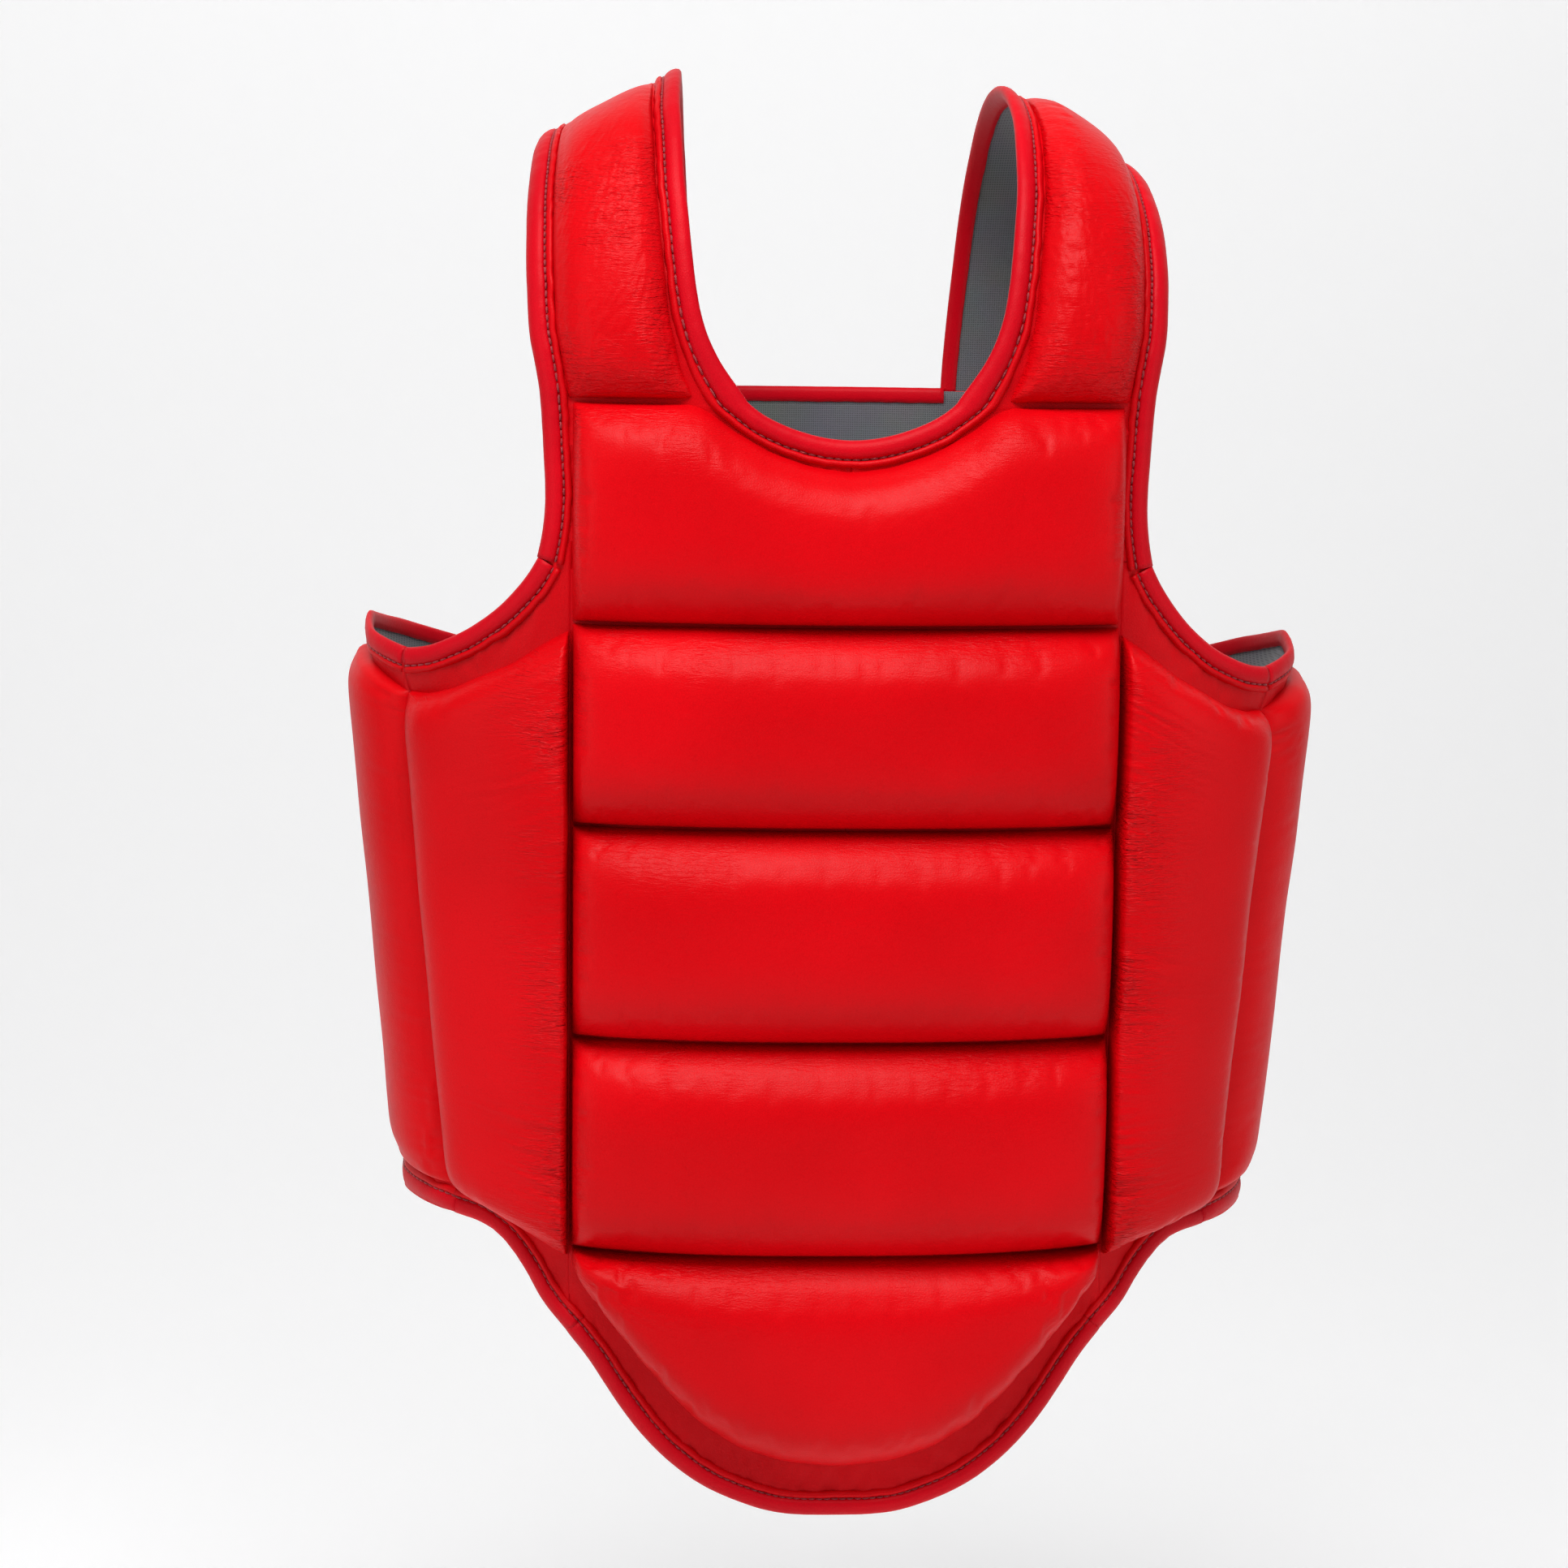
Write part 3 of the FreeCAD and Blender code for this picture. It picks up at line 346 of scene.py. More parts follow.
def leather(name, col_a, col_b, rough=0.40, grain=0.5, coat=0.0, spec=0.085, fold=None):
    m, t, p = tree(name)
    L = t.links.new
    tc = node(t, "ShaderNodeTexCoord")
    n1 = node(t, "ShaderNodeTexNoise", Scale=9.0, Detail=3.0, Roughness=0.5)
    n2 = node(t, "ShaderNodeTexNoise", Scale=260.0, Detail=4.0, Roughness=0.6)
    vo = node(t, "ShaderNodeTexVoronoi", Scale=900.0)
    vo.feature = "DISTANCE_TO_EDGE"
    for n in (n1, n2, vo):
        L(tc.outputs["Object"], n.inputs["Vector"])
    ramp = node(t, "ShaderNodeValToRGB")
    ramp.color_ramp.elements[0].position, ramp.color_ramp.elements[1].position = 0.38, 0.64
    ramp.color_ramp.elements[0].color, ramp.color_ramp.elements[1].color = (*col_a, 1), (*col_b, 1)
    L(n1.outputs["Fac"], ramp.inputs["Fac"])
    dark = node(t, "ShaderNodeMix", data_type="RGBA", blend_type="MULTIPLY")
    dr = node(t, "ShaderNodeMapRange")
    dr.inputs["From Min"].default_value, dr.inputs["From Max"].default_value = 0.0, 0.10
    dr.inputs["To Min"].default_value, dr.inputs["To Max"].default_value = 0.90, 1.0
    L(vo.outputs["Distance"], dr.inputs["Value"])
    dark.inputs["Factor"].default_value = 1.0
    L(ramp.outputs["Color"], dark.inputs[6])
    L(dr.outputs["Result"], dark.inputs[7])
    L(dark.outputs[2], p.inputs["Base Color"])
    rr = node(t, "ShaderNodeMapRange")
    rr.inputs["To Min"].default_value, rr.inputs["To Max"].default_value = rough - 0.05, rough + 0.09
    L(n2.outputs["Fac"], rr.inputs["Value"])
    L(rr.outputs["Result"], p.inputs["Roughness"])
    b1 = node(t, "ShaderNodeBump", Strength=grain, Distance=0.00018)
    b2 = node(t, "ShaderNodeBump", Strength=grain * 0.6, Distance=0.00035)
    L(vo.outputs["Distance"], b1.inputs["Height"])
    L(n2.outputs["Fac"], b2.inputs["Height"])
    L(b1.outputs["Normal"], b2.inputs["Normal"])
    last = b2
    if fold:
        # drawn leather beside a seam: thin ridges, long one way and narrow the other
        turn, long_, narrow, tall = fold
        mp = node(t, "ShaderNodeMapping")
        mp.inputs["Rotation"].default_value = (0, math.radians(turn), 0)
        mp.inputs["Scale"].default_value = (1.0 / long_, 1.0 / long_, 1.0 / narrow)
        L(tc.outputs["Object"], mp.inputs["Vector"])
        at = node(t, "ShaderNodeAttribute", attribute_name="crease")
        mask = node(t, "ShaderNodeMath", operation="MULTIPLY")
        patch = node(t, "ShaderNodeTexNoise", Scale=28.0, Detail=2.0)
        L(tc.outputs["Object"], patch.inputs["Vector"])
        pr = node(t, "ShaderNodeMapRange")
        pr.inputs["From Min"].default_value, pr.inputs["From Max"].default_value = 0.40, 0.60
        pr.inputs["To Min"].default_value = 0.15
        L(patch.outputs["Fac"], pr.inputs["Value"])
        L(at.outputs["Fac"], mask.inputs[0])
        L(pr.outputs["Result"], mask.inputs[1])
        for sc, hh in ((1.0, 1.0), (1.9, 0.55)):
            nz = node(t, "ShaderNodeTexNoise", Scale=sc, Detail=2.0, Roughness=0.5, Distortion=0.35)
            L(mp.outputs["Vector"], nz.inputs["Vector"])
            s1_ = node(t, "ShaderNodeMath", operation="SUBTRACT")
            s1_.inputs[1].default_value = 0.5
            L(nz.outputs["Fac"], s1_.inputs[0])
            ab = node(t, "ShaderNodeMath", operation="ABSOLUTE")
            L(s1_.outputs[0], ab.inputs[0])
            rg = node(t, "ShaderNodeMapRange")
            rg.interpolation_type = "SMOOTHSTEP"
            rg.inputs["From Min"].default_value, rg.inputs["From Max"].default_value = 0.0, 0.10
            rg.inputs["To Min"].default_value, rg.inputs["To Max"].default_value = 1.0, 0.0
            L(ab.outputs[0], rg.inputs["Value"])
            hm = node(t, "ShaderNodeMath", operation="MULTIPLY")
            L(rg.outputs["Result"], hm.inputs[0])
            L(mask.outputs[0], hm.inputs[1])
            bf = node(t, "ShaderNodeBump", Strength=1.0, Distance=tall * hh)
            L(hm.outputs[0], bf.inputs["Height"])
            L(last.outputs["Normal"], bf.inputs["Normal"])
            last = bf
    L(last.outputs["Normal"], p.inputs["Normal"])
    p.inputs["Specular IOR Level"].default_value = spec
    if coat:
        p.inputs["Coat Weight"].default_value = coat
        p.inputs["Coat Roughness"].default_value = 0.3
    return m


def weave(name, col_a, col_b, pitch, rough=0.85, depth_m=0.0003, axis_turn=0.0, sheen=0.2):
    """Plain weave from two crossed sets of threads."""
    m, t, p = tree(name)
    L = t.links.new
    tc = node(t, "ShaderNodeTexCoord")
    w1 = node(t, "ShaderNodeTexWave", Scale=1.0 / pitch / 3.1416, Distortion=0.6, Detail=1.0)
    w1.inputs["Detail Scale"].default_value = 2.0
    w1.bands_direction = "Z"
    w2 = node(t, "ShaderNodeTexWave", Scale=1.0 / pitch / 3.1416, Distortion=0.6, Detail=1.0)
    w2.inputs["Detail Scale"].default_value = 2.0
    w2.bands_direction = "DIAGONAL" if axis_turn else "X"
    no = node(t, "ShaderNodeTexNoise", Scale=40.0, Detail=4.0)
    for n in (w1, w2, no):
        L(tc.outputs["Object"], n.inputs["Vector"])
    mx = node(t, "ShaderNodeMath", operation="MAXIMUM")
    L(w1.outputs["Fac"], mx.inputs[0])
    L(w2.outputs["Fac"], mx.inputs[1])
    ramp = node(t, "ShaderNodeValToRGB")
    ramp.color_ramp.elements[0].color, ramp.color_ramp.elements[1].color = (*col_a, 1), (*col_b, 1)
    L(mx.outputs[0], ramp.inputs["Fac"])
    mix = node(t, "ShaderNodeMix", data_type="RGBA", blend_type="MULTIPLY")
    mix.inputs["Factor"].default_value = 0.35
    L(ramp.outputs["Color"], mix.inputs[6])
    L(no.outputs["Color"], mix.inputs[7])
    L(mix.outputs[2], p.inputs["Base Color"])
    b = node(t, "ShaderNodeBump", Strength=0.7, Distance=depth_m)
    L(mx.outputs[0], b.inputs["Height"])
    L(b.outputs["Normal"], p.inputs["Normal"])
    p.inputs["Roughness"].default_value = rough
    p.inputs["Sheen Weight"].default_value = sheen
    p.inputs["Sheen Roughness"].default_value = 0.5
    return m


RED = leather("red_leather", (0.56, 0.0004, 0.003), (0.64, 0.0006, 0.004), 0.40, 0.5)
RC = ((0.56, 0.0004, 0.003), (0.64, 0.0006, 0.004), 0.38, 0.5)
RED_C = leather("red_leather_centre", *RC, fold=(38.0, 0.012, 0.0020, 0.00022))
RED_S = leather("red_leather_side", *RC, fold=(0.0, 0.014, 0.0022, 0.00042))
RED_SL = leather("red_leather_left_strap", *RC, fold=(-42.0, 0.014, 0.0024, 0.00036))
RED_SR = leather("red_leather_right_strap", *RC, fold=(46.0, 0.014, 0.0024, 0.00040))
BIND = leather("binding_leather", (0.50, 0.001, 0.008), (0.60, 0.001, 0.009), 0.44, 0.6)
MARG = leather("margin_leather", (0.52, 0.0006, 0.004), (0.62, 0.0008, 0.005), 0.42, 0.6)
THREAD = weave("red_thread", (0.16, 0.001, 0.006), (0.42, 0.004, 0.015), 0.0006, 0.6, 0.0001)
LINING = weave("grey_lining", (0.050, 0.053, 0.058), (0.15, 0.155, 0.165), 0.0011, 0.9, 0.0002)
WEB = weave("black_webbing", (0.006, 0.006, 0.007), (0.035, 0.035, 0.038), 0.0016, 0.7, 0.0005)
HOOK = weave("black_hook_tape", (0.008, 0.008, 0.009), (0.05, 0.05, 0.054), 0.0013, 0.65, 0.0006)


# -------------------------------------------------------------------- pads
PADS = []


def pad(name, where, nu, nv, rise, pu, pv, body, nodes, detail=None, mirror=False, base=2.4, fill=0.8,
        blend=None, k=0.35, mat=None, crease=None):
    """A stuffed pad: its crown rises from the seams, over a flat back on the lining."""
    u, v = uv_grid(nu, nv, k)
    h = rise * (pu(u) if callable(pu) else prof(u, *pu)) * (pv(v) if callable(pv) else prof(v, *pv))
    if detail is not None:
        h = h + detail(u, v, h)
    outer = where(u, v, base + np.maximum(h, 0.0))
    inner = where(u, v, np.full(u.shape, LIN + 0.1))
    ob = slab(name, outer, inner, mat or RED, None if blend else body, mirror)
    at = ob.data.attributes.new("crease", "FLOAT", "POINT")
    cm = np.zeros(u.shape) if crease is None else np.clip(crease(u, v), 0, 1)
    at.data.foreach_set("value", np.concatenate([cm.ravel(), np.zeros(cm.size)]).astype(np.float32))
    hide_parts(*nodes)
    PADS.append((ob, nu, nv, blend, fill))
    return ob


def relax(pads, cap=0.0008, grow=10.0):
    """Settles the covers as pressed cloth, held along their seams, and keeps the small relief it makes."""
    V, F, pin, spans = [], [], [], []
    for ob, nu, nv, _, _ in pads:
        co = np.empty(len(ob.data.vertices) * 3)
        ob.data.vertices.foreach_get("co", co)
        outer = co.reshape(-1, 3)[:nu * nv].reshape(nu, nv, 3)
        iu = np.unique(np.round(np.linspace(0, nu - 1, max(12, int(nu / 2.2)))).astype(int))
        jv = np.unique(np.round(np.linspace(0, nv - 1, max(12, int(nv / 2.2)))).astype(int))
        g = outer[iu][:, jv]
        base = sum(len(x) for x in V)
        a, b = len(iu), len(jv)
        V.append(g.reshape(-1, 3))
        for i in range(a - 1):
            for j in range(b - 1):
                F.append((base + i * b + j, base + (i + 1) * b + j, base + (i + 1) * b + j + 1, base + i * b + j + 1))
        pin += [base + i * b + j for i in range(a) for j in range(b) if i in (0, 1, a - 2, a - 1) or j in (0, 1, b - 2, b - 1)]
        spans.append((base, iu, jv))
    P0 = np.concatenate(V)
    me = bpy.data.meshes.new("cover_cloth")
    me.from_pydata((P0 * grow).tolist(), [], F)
    me.update()
    ob = bpy.data.objects.new("cover_cloth", me)
    sc = bpy.context.scene
    sc.collection.objects.link(ob)
    grp = ob.vertex_groups.new(name="held")
    grp.add(pin, 1.0, "REPLACE")
    md = ob.modifiers.new("cloth", "CLOTH")
    c = md.settings
    c.quality, c.mass = 5, 0.3
    c.tension_stiffness = c.compression_stiffness = 12.0
    c.shear_stiffness, c.bending_stiffness = 6.0, 0.35
    c.use_pressure, c.uniform_pressure_force = True, 4.0
    c.shrink_min = -0.016
    c.vertex_group_mass = "held"
    c.effector_weights.gravity = 0.0
    c.air_damping = 4.0
    md.collision_settings.use_collision = False
    md.collision_settings.use_self_collision = False
    md.point_cache.frame_start, md.point_cache.frame_end = 1, 20
    sc.frame_start, sc.frame_end = 1, 20
    for f in range(1, 21):
        sc.frame_set(f)
    ev = ob.evaluated_get(bpy.context.evaluated_depsgraph_get())
    out = np.empty(len(P0) * 3)
    ev.data.vertices.foreach_get("co", out)
    D = out.reshape(-1, 3) / grow - P0
    D[~np.isfinite(D).all(1)] = 0.0
    m = np.linalg.norm(D, axis=1)
    D *= (cap * np.tanh(m / cap) / np.maximum(m, 1e-9))[:, None]
    sc.frame_set(1)
    bpy.data.objects.remove(ob, do_unlink=True)
    bpy.data.meshes.remove(me)
    for (pob, nu, nv, _, _), (base, iu, jv) in zip(pads, spans):
        d = D[base:base + len(iu) * len(jv)].reshape(len(iu), len(jv), 3)
        fine = np.empty((nu, nv, 3))
        for k in range(3):
            col = np.array([np.interp(np.arange(nu), iu, d[:, j, k]) for j in range(len(jv))]).T
            fine[:, :, k] = np.array([np.interp(np.arange(nv), jv, col[i]) for i in range(nu)])
        co = np.empty(len(pob.data.vertices) * 3)
        pob.data.vertices.foreach_get("co", co)
        co = co.reshape(-1, 3)
        co[:nu * nv] += fine.reshape(-1, 3)
        pob.data.vertices.foreach_set("co", co.ravel())
        pob.data.update()


def column(z_low, z_high, half):
    def where(u, v, off):
        x = u * half
        zt = z_high(np.abs(x)) if callable(z_high) else z_high
        return drape(x, z_low + (zt - z_low) * (v + 1) / 2, off)
    return where


def edge_mm(t, half):
    """Distance in mm from the nearer end of a side whose half length is half."""
    return (1 - np.abs(t)) * half


def puckers(s, d, seed, pitch, reach, depth_mm):
    """Fine folds that run away from a seam: s along it, d away from it, in mm."""
    m = 0.35 + 0.65 * ease((noise(s / 32.0, 0.3, seed + 3) + 0.35) / 0.8)
    r = reach * (0.55 + 0.9 * (0.5 + 0.5 * noise(s / 7.0, 4.2, seed + 5)))
    n = noise(s / pitch + 0.25 * noise(s / 13.0, d / 9.0, seed + 7), d / 34.0, seed)
    n2 = noise(s / (pitch * 0.62) + 0.3 * noise(s / 9.0, d / 6.0, seed + 13), d / 20.0, seed + 11)
    return depth_mm * m * np.exp(-(d / np.maximum(r, 2.0)) ** 1.5) * (n * 0.9 + n2 * 0.45)


def grain_folds(x, y, seed, angle, wide, long, depth_mm):
    c, s = math.cos(math.radians(angle)), math.sin(math.radians(angle))
    a, b = x * c + y * s, -x * s + y * c
    warp = 0.5 * noise(a / 26.0, b / 26.0, seed + 1)
    n = noise(a / long, b / wide + warp, seed)
    n2 = noise(a / (long * 0.6), b / (wide * 0.6) + warp, seed + 2)
    return -depth_mm * (np.exp(-(n / 0.22) ** 2) + 0.6 * np.exp(-(n2 / 0.2) ** 2))


def center_detail(seed, half_h, top_gather=0.0):
    def f(u, v, h):
        du, dv = edge_mm(u, 119.0), edge_mm(v, half_h)
        x, y = u * 119.0, v * half_h
        d = puckers(y, du, seed, 4.5, 9.0, 0.55)
        d = d + puckers(x, dv, seed + 20, 5.0, 5.0, 0.38)
        d = d + 0.55 * noise(x / 55.0, y / 38.0, seed + 40) * prof(u, 6, 1) * prof(v, 4, 1)
        env = ease(noise(x / 60.0, y / 30.0, seed + 50) * 1.2 + 0.2)
        d = d + env * grain_folds(x, y, seed + 60, 35.0, 3.2, 13.0, 0.13) * ease(h / 12.0)
        return d
    return f


def near_ends(u, v):
    """Creases beside the end seams and in the upper corners."""
    du, dv = edge_mm(u, 119.0), (1 - v) * 45.0
    return 0.9 * np.exp(-du / 4.0) + 0.75 * np.exp(-dv / 13.0) * np.exp(-((np.abs(u) - 0.62) / 0.40) ** 2) \
        + 0.25 * np.exp(-dv / 9.0)


def near_seam(u, v):
    du = (u + 1) * 36.0
    return 1.1 * np.exp(-(du / 17.0) ** 2) + 0.35 * np.exp(-edge_mm(v, 125.0) / 8.0)


def on_strap(u, v):
    w = (v + 1) * RUN
    return np.interp(w, [0, 20, 90, 140, 190, 240, 350], [1.0, 0.9, 0.75, 0.45, 0.2, 0.3, 0.6]) * (0.55 + 0.45 * np.abs(u))


def end_u(u):
    return prof(u, 60.0, 0.5) * (1 - 0.14 * np.abs(u) ** 9)


pad("chest_pad", column(S1 + 0.4, NECK_PAD, 119.3), 150, 64, 24.0, end_u, (3.1, 0.5), "front",
    ["chest_cover", "chest_foam"], center_detail(11, 45.0), mat=RED_C, crease=near_ends)
pad("upper_abdomen_pad", column(S2 + 0.4, S1 - 0.4, 119.3), 140, 64, 25.6, end_u, (3.1, 0.5), "front",
    ["upper_abdomen_cover", "upper_abdomen_foam"], center_detail(12, 44.0), mat=RED_C, crease=near_ends)
pad("middle_abdomen_pad", column(S3 + 0.4, S2 - 0.4, 119.3), 140, 68, 26.0, end_u, (3.1, 0.5), "front",
    ["middle_abdomen_cover", "middle_abdomen_foam"], center_detail(13, 47.0), mat=RED_C, crease=near_ends)
pad("lower_abdomen_pad", column(S4 + 0.5, S3 - 0.4, 119.3), 140, 68, 26.0, end_u, (3.1, 0.5), "front",
    ["lower_abdomen_cover", "lower_abdomen_foam"], center_detail(14, 48.0), mat=RED_C, crease=near_ends)


def apron_where(u, v, off):
    x = u * 118.6
    zb = np.minimum(APRON_LOW(np.abs(x)), S4 - 7.0)
    return drape(x, zb + (S4 - 0.6 - zb) * (v + 1) / 2, off)


APRON_BLEND = ("front", "apron", (0, -0.108, -0.476), (0, -0.108, -0.572))
pad("apron_pad", apron_where, 150, 70, 24.0, (22, 0.5), (3.4, 0.5), None,
    ["apron_cover", "apron_foam"], center_detail(15, 46.0), blend=APRON_BLEND, mat=RED_C, crease=near_ends)


def shoulder_where(u, v, off):
    w = Z0 + 0.5 + (2 * RUN - 1.0) * (v + 1) / 2
    inset = np.interp(w, [-98.0, -80.0, -60.0, 252.0], [19.0, 12.4, 10.8, 11.0])
    xi = NECK_EDGE(w) + inset
    xo = OUTER_EDGE(w) - 10.2
    return drape(xi + (xo - xi) * (u + 1) / 2, w, off)


def shoulder_v(v, flat=0.72):
    return np.clip(1 - np.abs(v) ** 22, 0, 1) ** 0.5 * (1 - 0.12 * np.clip(v, 0, 1)) * \
        (1 - flat * np.exp(-(v / 0.36) ** 2))


def shoulder_detail(seed, lean):
    def f(u, v, h):
        x, y = u * 22.0 + 100.0, v * RUN
        d = grain_folds(x, y, seed, lean, 2.6, 11.0, 0.34) * ease(h / 9.0) * \
            ease((noise(x / 30.0, y / 44.0, seed + 8) + 0.75) / 0.8) * ease((60.0 - (y + 120.0)) / 70.0 + 0.6)
        d = d + puckers(x, edge_mm(v, RUN), seed + 4, 4.0, 9.0, 0.6)
        d = d + puckers(y, edge_mm(u, 22.0), seed + 5, 5.5, 6.0, 0.35)
        return d + 0.5 * noise(x / 22.0, y / 48.0, seed + 6)
    return f


SH_BLEND = ("front", "back", (0, -0.034, 0), (0, 0.034, 0))
for side, mir in (("left", False), ("right", True)):
    pad(side + "_shoulder_pad", shoulder_where, 56, 300, 17.0, (3.2, 0.5),
        (lambda v: shoulder_v(v, 0.76)) if mir else (lambda v: shoulder_v(v, 0.50)), None,
        [side + "_front_shoulder_cover", side + "_front_shoulder_foam",
         side + "_rear_shoulder_cover", side + "_rear_shoulder_foam"],
        shoulder_detail(31 if mir else 36, 118.0), mirror=mir, blend=SH_BLEND, k=0.3,
        mat=RED_SR if mir else RED_SL, crease=on_strap)


def wing_where(q_from, q_to):
    def where(u, v, off):
        uu, vv = (u + 1) / 2, (v + 1) / 2
        zt, zb = np.full(u.shape, -225.0), np.full(u.shape, -460.0)
        for _ in range(4):
            zt = PAD_TOP(q_from(zt) + (q_to(zt) - q_from(zt)) * uu)
            zb = PAD_LOW(q_from(zb) + (q_to(zb) - q_from(zb)) * uu)
        z = zb + (zt - zb) * vv
        return wing(q_from(z) + (q_to(z) - q_from(z)) * uu, z, off)
    return where


def seam_at(fn, z, off=0.0):
    return wing(fn(np.array([z])), np.array([z]), np.array([off]))[0]


s2a, s2b = seam_at(seam2, -225.0), seam_at(seam2, -465.0)
s2m = (s2a + s2b) / 2
s2t = seam_at(lambda z: seam2(z) + 22.0, -345.0) - seam_at(seam2, -345.0)
s2l = (s2b - s2a) / np.linalg.norm(s2b - s2a)
s2t = s2t - s2l * (s2t @ s2l)
s2t = s2t / np.linalg.norm(s2t) * 38.0


def front_blend(side, mir):
    s = -1 if mir else 1
    return ("front", side + "_side_front", (s * 0.1202, -0.1, -0.3), (s * 0.166, -0.1, -0.3))


def flank_blend(side, mir):
    s = np.array([-1 if mir else 1, 1, 1])
    return (side + "_side_front", side + "_side_rear", tuple(s2m * s * 0.001), tuple((s2m + s2t) * s * 0.001))


def side_detail(seed, inner_reach):
    def f(u, v, h):
        y = v * 130.0
        d = puckers(y, (u + 1) * 38.0, seed, 2.9, inner_reach, 1.15)
        d = d + puckers(y, (1 - u) * 38.0, seed + 9, 6.0, 6.0, 0.3)
        d = d + puckers(u * 38.0, edge_mm(v, 130.0), seed + 12, 7.0, 10.0, 0.6)
        d = d + 0.6 * noise(u * 0.9, y / 60.0, seed + 15)
        return d
    return f


def side_u(u):
    return np.where(u < 0, prof(u, 34.0, 0.5) * (1 - 0.10 * np.abs(u) ** 5), prof(u, 3.6, 0.52))


for side, mir in (("left", False), ("right", True)):
    pad(side + "_side_front_pad", wing_where(lambda z: seam1(z) + 0.5, lambda z: seam2(z) - 0.4), 90, 270, 24.0,
        side_u, (20, 0.5), None,
        [side + "_side_front_cover", side + "_side_front_foam"], side_detail(61 if mir else 66, 20.0), mirror=mir, blend=front_blend(side, mir),
        mat=RED_S, crease=near_seam)
    pad(side + "_side_rear_pad", wing_where(lambda z: seam2(z) + 0.4, lambda z: arc_of_phi(127.0, z)), 90, 130, 22.5,
        (4.2, 0.52), (20, 0.5), None,
        [side + "_side_rear_cover", side + "_side_rear_foam"], side_detail(71 if mir else 76, 6.0), mirror=mir,
        blend=flank_blend(side, mir))


def back_pad_where(half, z0, z1):
    return lambda u, v, off: back_sheet(u * half, z0 + (z1 - z0) * (v + 1) / 2, off)


pad("yoke_pad", back_pad_where(118.0, -185.0, -99.0), 110, 50, 12.8, (9, 0.5), (2.8, 0.5), "back",
    ["yoke_cover", "yoke_foam"], center_detail(81, 43.0))
pad("back_panel_pad", back_pad_where(74.0, -424.0, -192.0), 76, 110, 12.8, (5, 0.5), (12, 0.5), "back",
    ["back_panel_cover", "back_panel_foam"], None)


relax(PADS)
for ob, _, _, bl, fl in PADS:
    if bl:
        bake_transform(ob)


# -------------------------------------------------- leather shell and lining
def join_parts(parts):
    v, f, n = [], [], 0
    for pv, pf in parts:
        pv = np.asarray(pv, float).reshape(-1, 3)
        v.append(pv)
        f += [tuple(i + n for i in q) for q in pf]
        n += len(pv)
    return np.concatenate(v), f


def flip(part):
    v, f = part
    return np.asarray(v, float).reshape(-1, 3) * np.array([-1, 1, 1.0]), [tuple(reversed(q)) for q in f]


def sheet_part(P, lo, hi, detail=None):
    """P(off) gives the grid of points at a height off above the lining's inner face."""
    top = hi if detail is None else hi + detail
    o = P(top)
    i = P(np.full(o.shape[:2], lo))
    return np.concatenate([o.reshape(-1, 3), i.reshape(-1, 3)]), slab_faces(*o.shape[:2])


ARM_X = np.array([(-169.0, 133.2), (-156.0, 130.8), (-141.0, 129.4), (-115.0, 130.8), (-98.0, 131.8)])
NECK_X = np.array([(-115.4, 0.0), (-115.2, 6.0), (-114.5, 11.0), (-113.0, 18.0), (-109.8, 27.5),
                   (-106.2, 36.0), (-98.0, 47.0)])


def x_out(w):
    return np.where(w < -165.0, 120.0, np.where(w < -98.0, np.interp(w, ARM_X[:, 0], ARM_X[:, 1]), OUTER_EDGE(w)))


def x_in(w):
    return np.where(w < -115.4, 0.0, np.where(w < -98.0, np.interp(w, NECK_X[:, 0], NECK_X[:, 1]), NECK_EDGE(w)))


def trunk_band(lo, hi, w0, w1, inset=2.2, detail=None, nx=34, step=3.0):
    ws = np.unique(np.concatenate([np.arange(w0, w1, step), [w1], [-165.02, -164.98], np.arange(-118.0, -96.0, 1.0)]))
    ws = ws[(ws >= w0) & (ws <= w1)]
    s = np.linspace(0, 1, nx)
    a = x_in(ws) + np.where(ws > -115.4, inset, 0.0)
    b = x_out(ws) - np.where(ws > -165.0, inset, 0.0)
    X = a[None, :] + (b - a)[None, :] * s[:, None]
    Wg = np.broadcast_to(ws[None, :], X.shape)
    d = None
    if detail is not None:
        d = detail(X, Wg, np.minimum(X - a[None, :] + inset, b[None, :] - X + inset))
    return sheet_part(lambda off: drape(X, Wg, off), lo, hi, d)


def margin_folds(seed, amp=0.55, pitch=4.6):
    def f(x, w, edge):
        n = noise(w / pitch, x / 16.0, seed) + 0.6 * noise(w / (pitch * 0.6), x / 12.0, seed + 1)
        return amp * n * np.exp(-((edge - 14.0) / 9.0) ** 2) + 0.25 * noise(x / 12.0, w / 12.0, seed + 2)
    return f


SHELL_LO, SHELL_HI = LIN + 0.15, 3.3
bands = []
for mir, sd in ((False, 101), (True, 111)):
    p = trunk_band(SHELL_LO, SHELL_HI, S4 - 0.2, 255.0, detail=margin_folds(sd))
    bands.append(flip(p) if mir else p)
vv, ff_ = join_parts(bands)
shell = mesh("front_and_shoulder_leather", vv, ff_, MARG)
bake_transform(shell)

bands = [trunk_band(0.0, LIN, S4 + 0.2, -98.0, nx=20, step=6.0)]
bands.append(flip(bands[0]))
vv, ff_ = join_parts(bands)
ob = mesh("front_body_lining", vv, ff_, LINING, "front")
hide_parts("front_lining")
for side, mir in (("left", False), ("right", True)):
    p = trunk_band(0.0, LIN, -97.9, 255.0, nx=14, step=4.0)
    ob = mesh(side + "_strap_lining", *(flip(p) if mir else p), LINING)
    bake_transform(ob)
    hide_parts(side + "_front_shoulder_lining", side + "_rear_shoulder_lining")


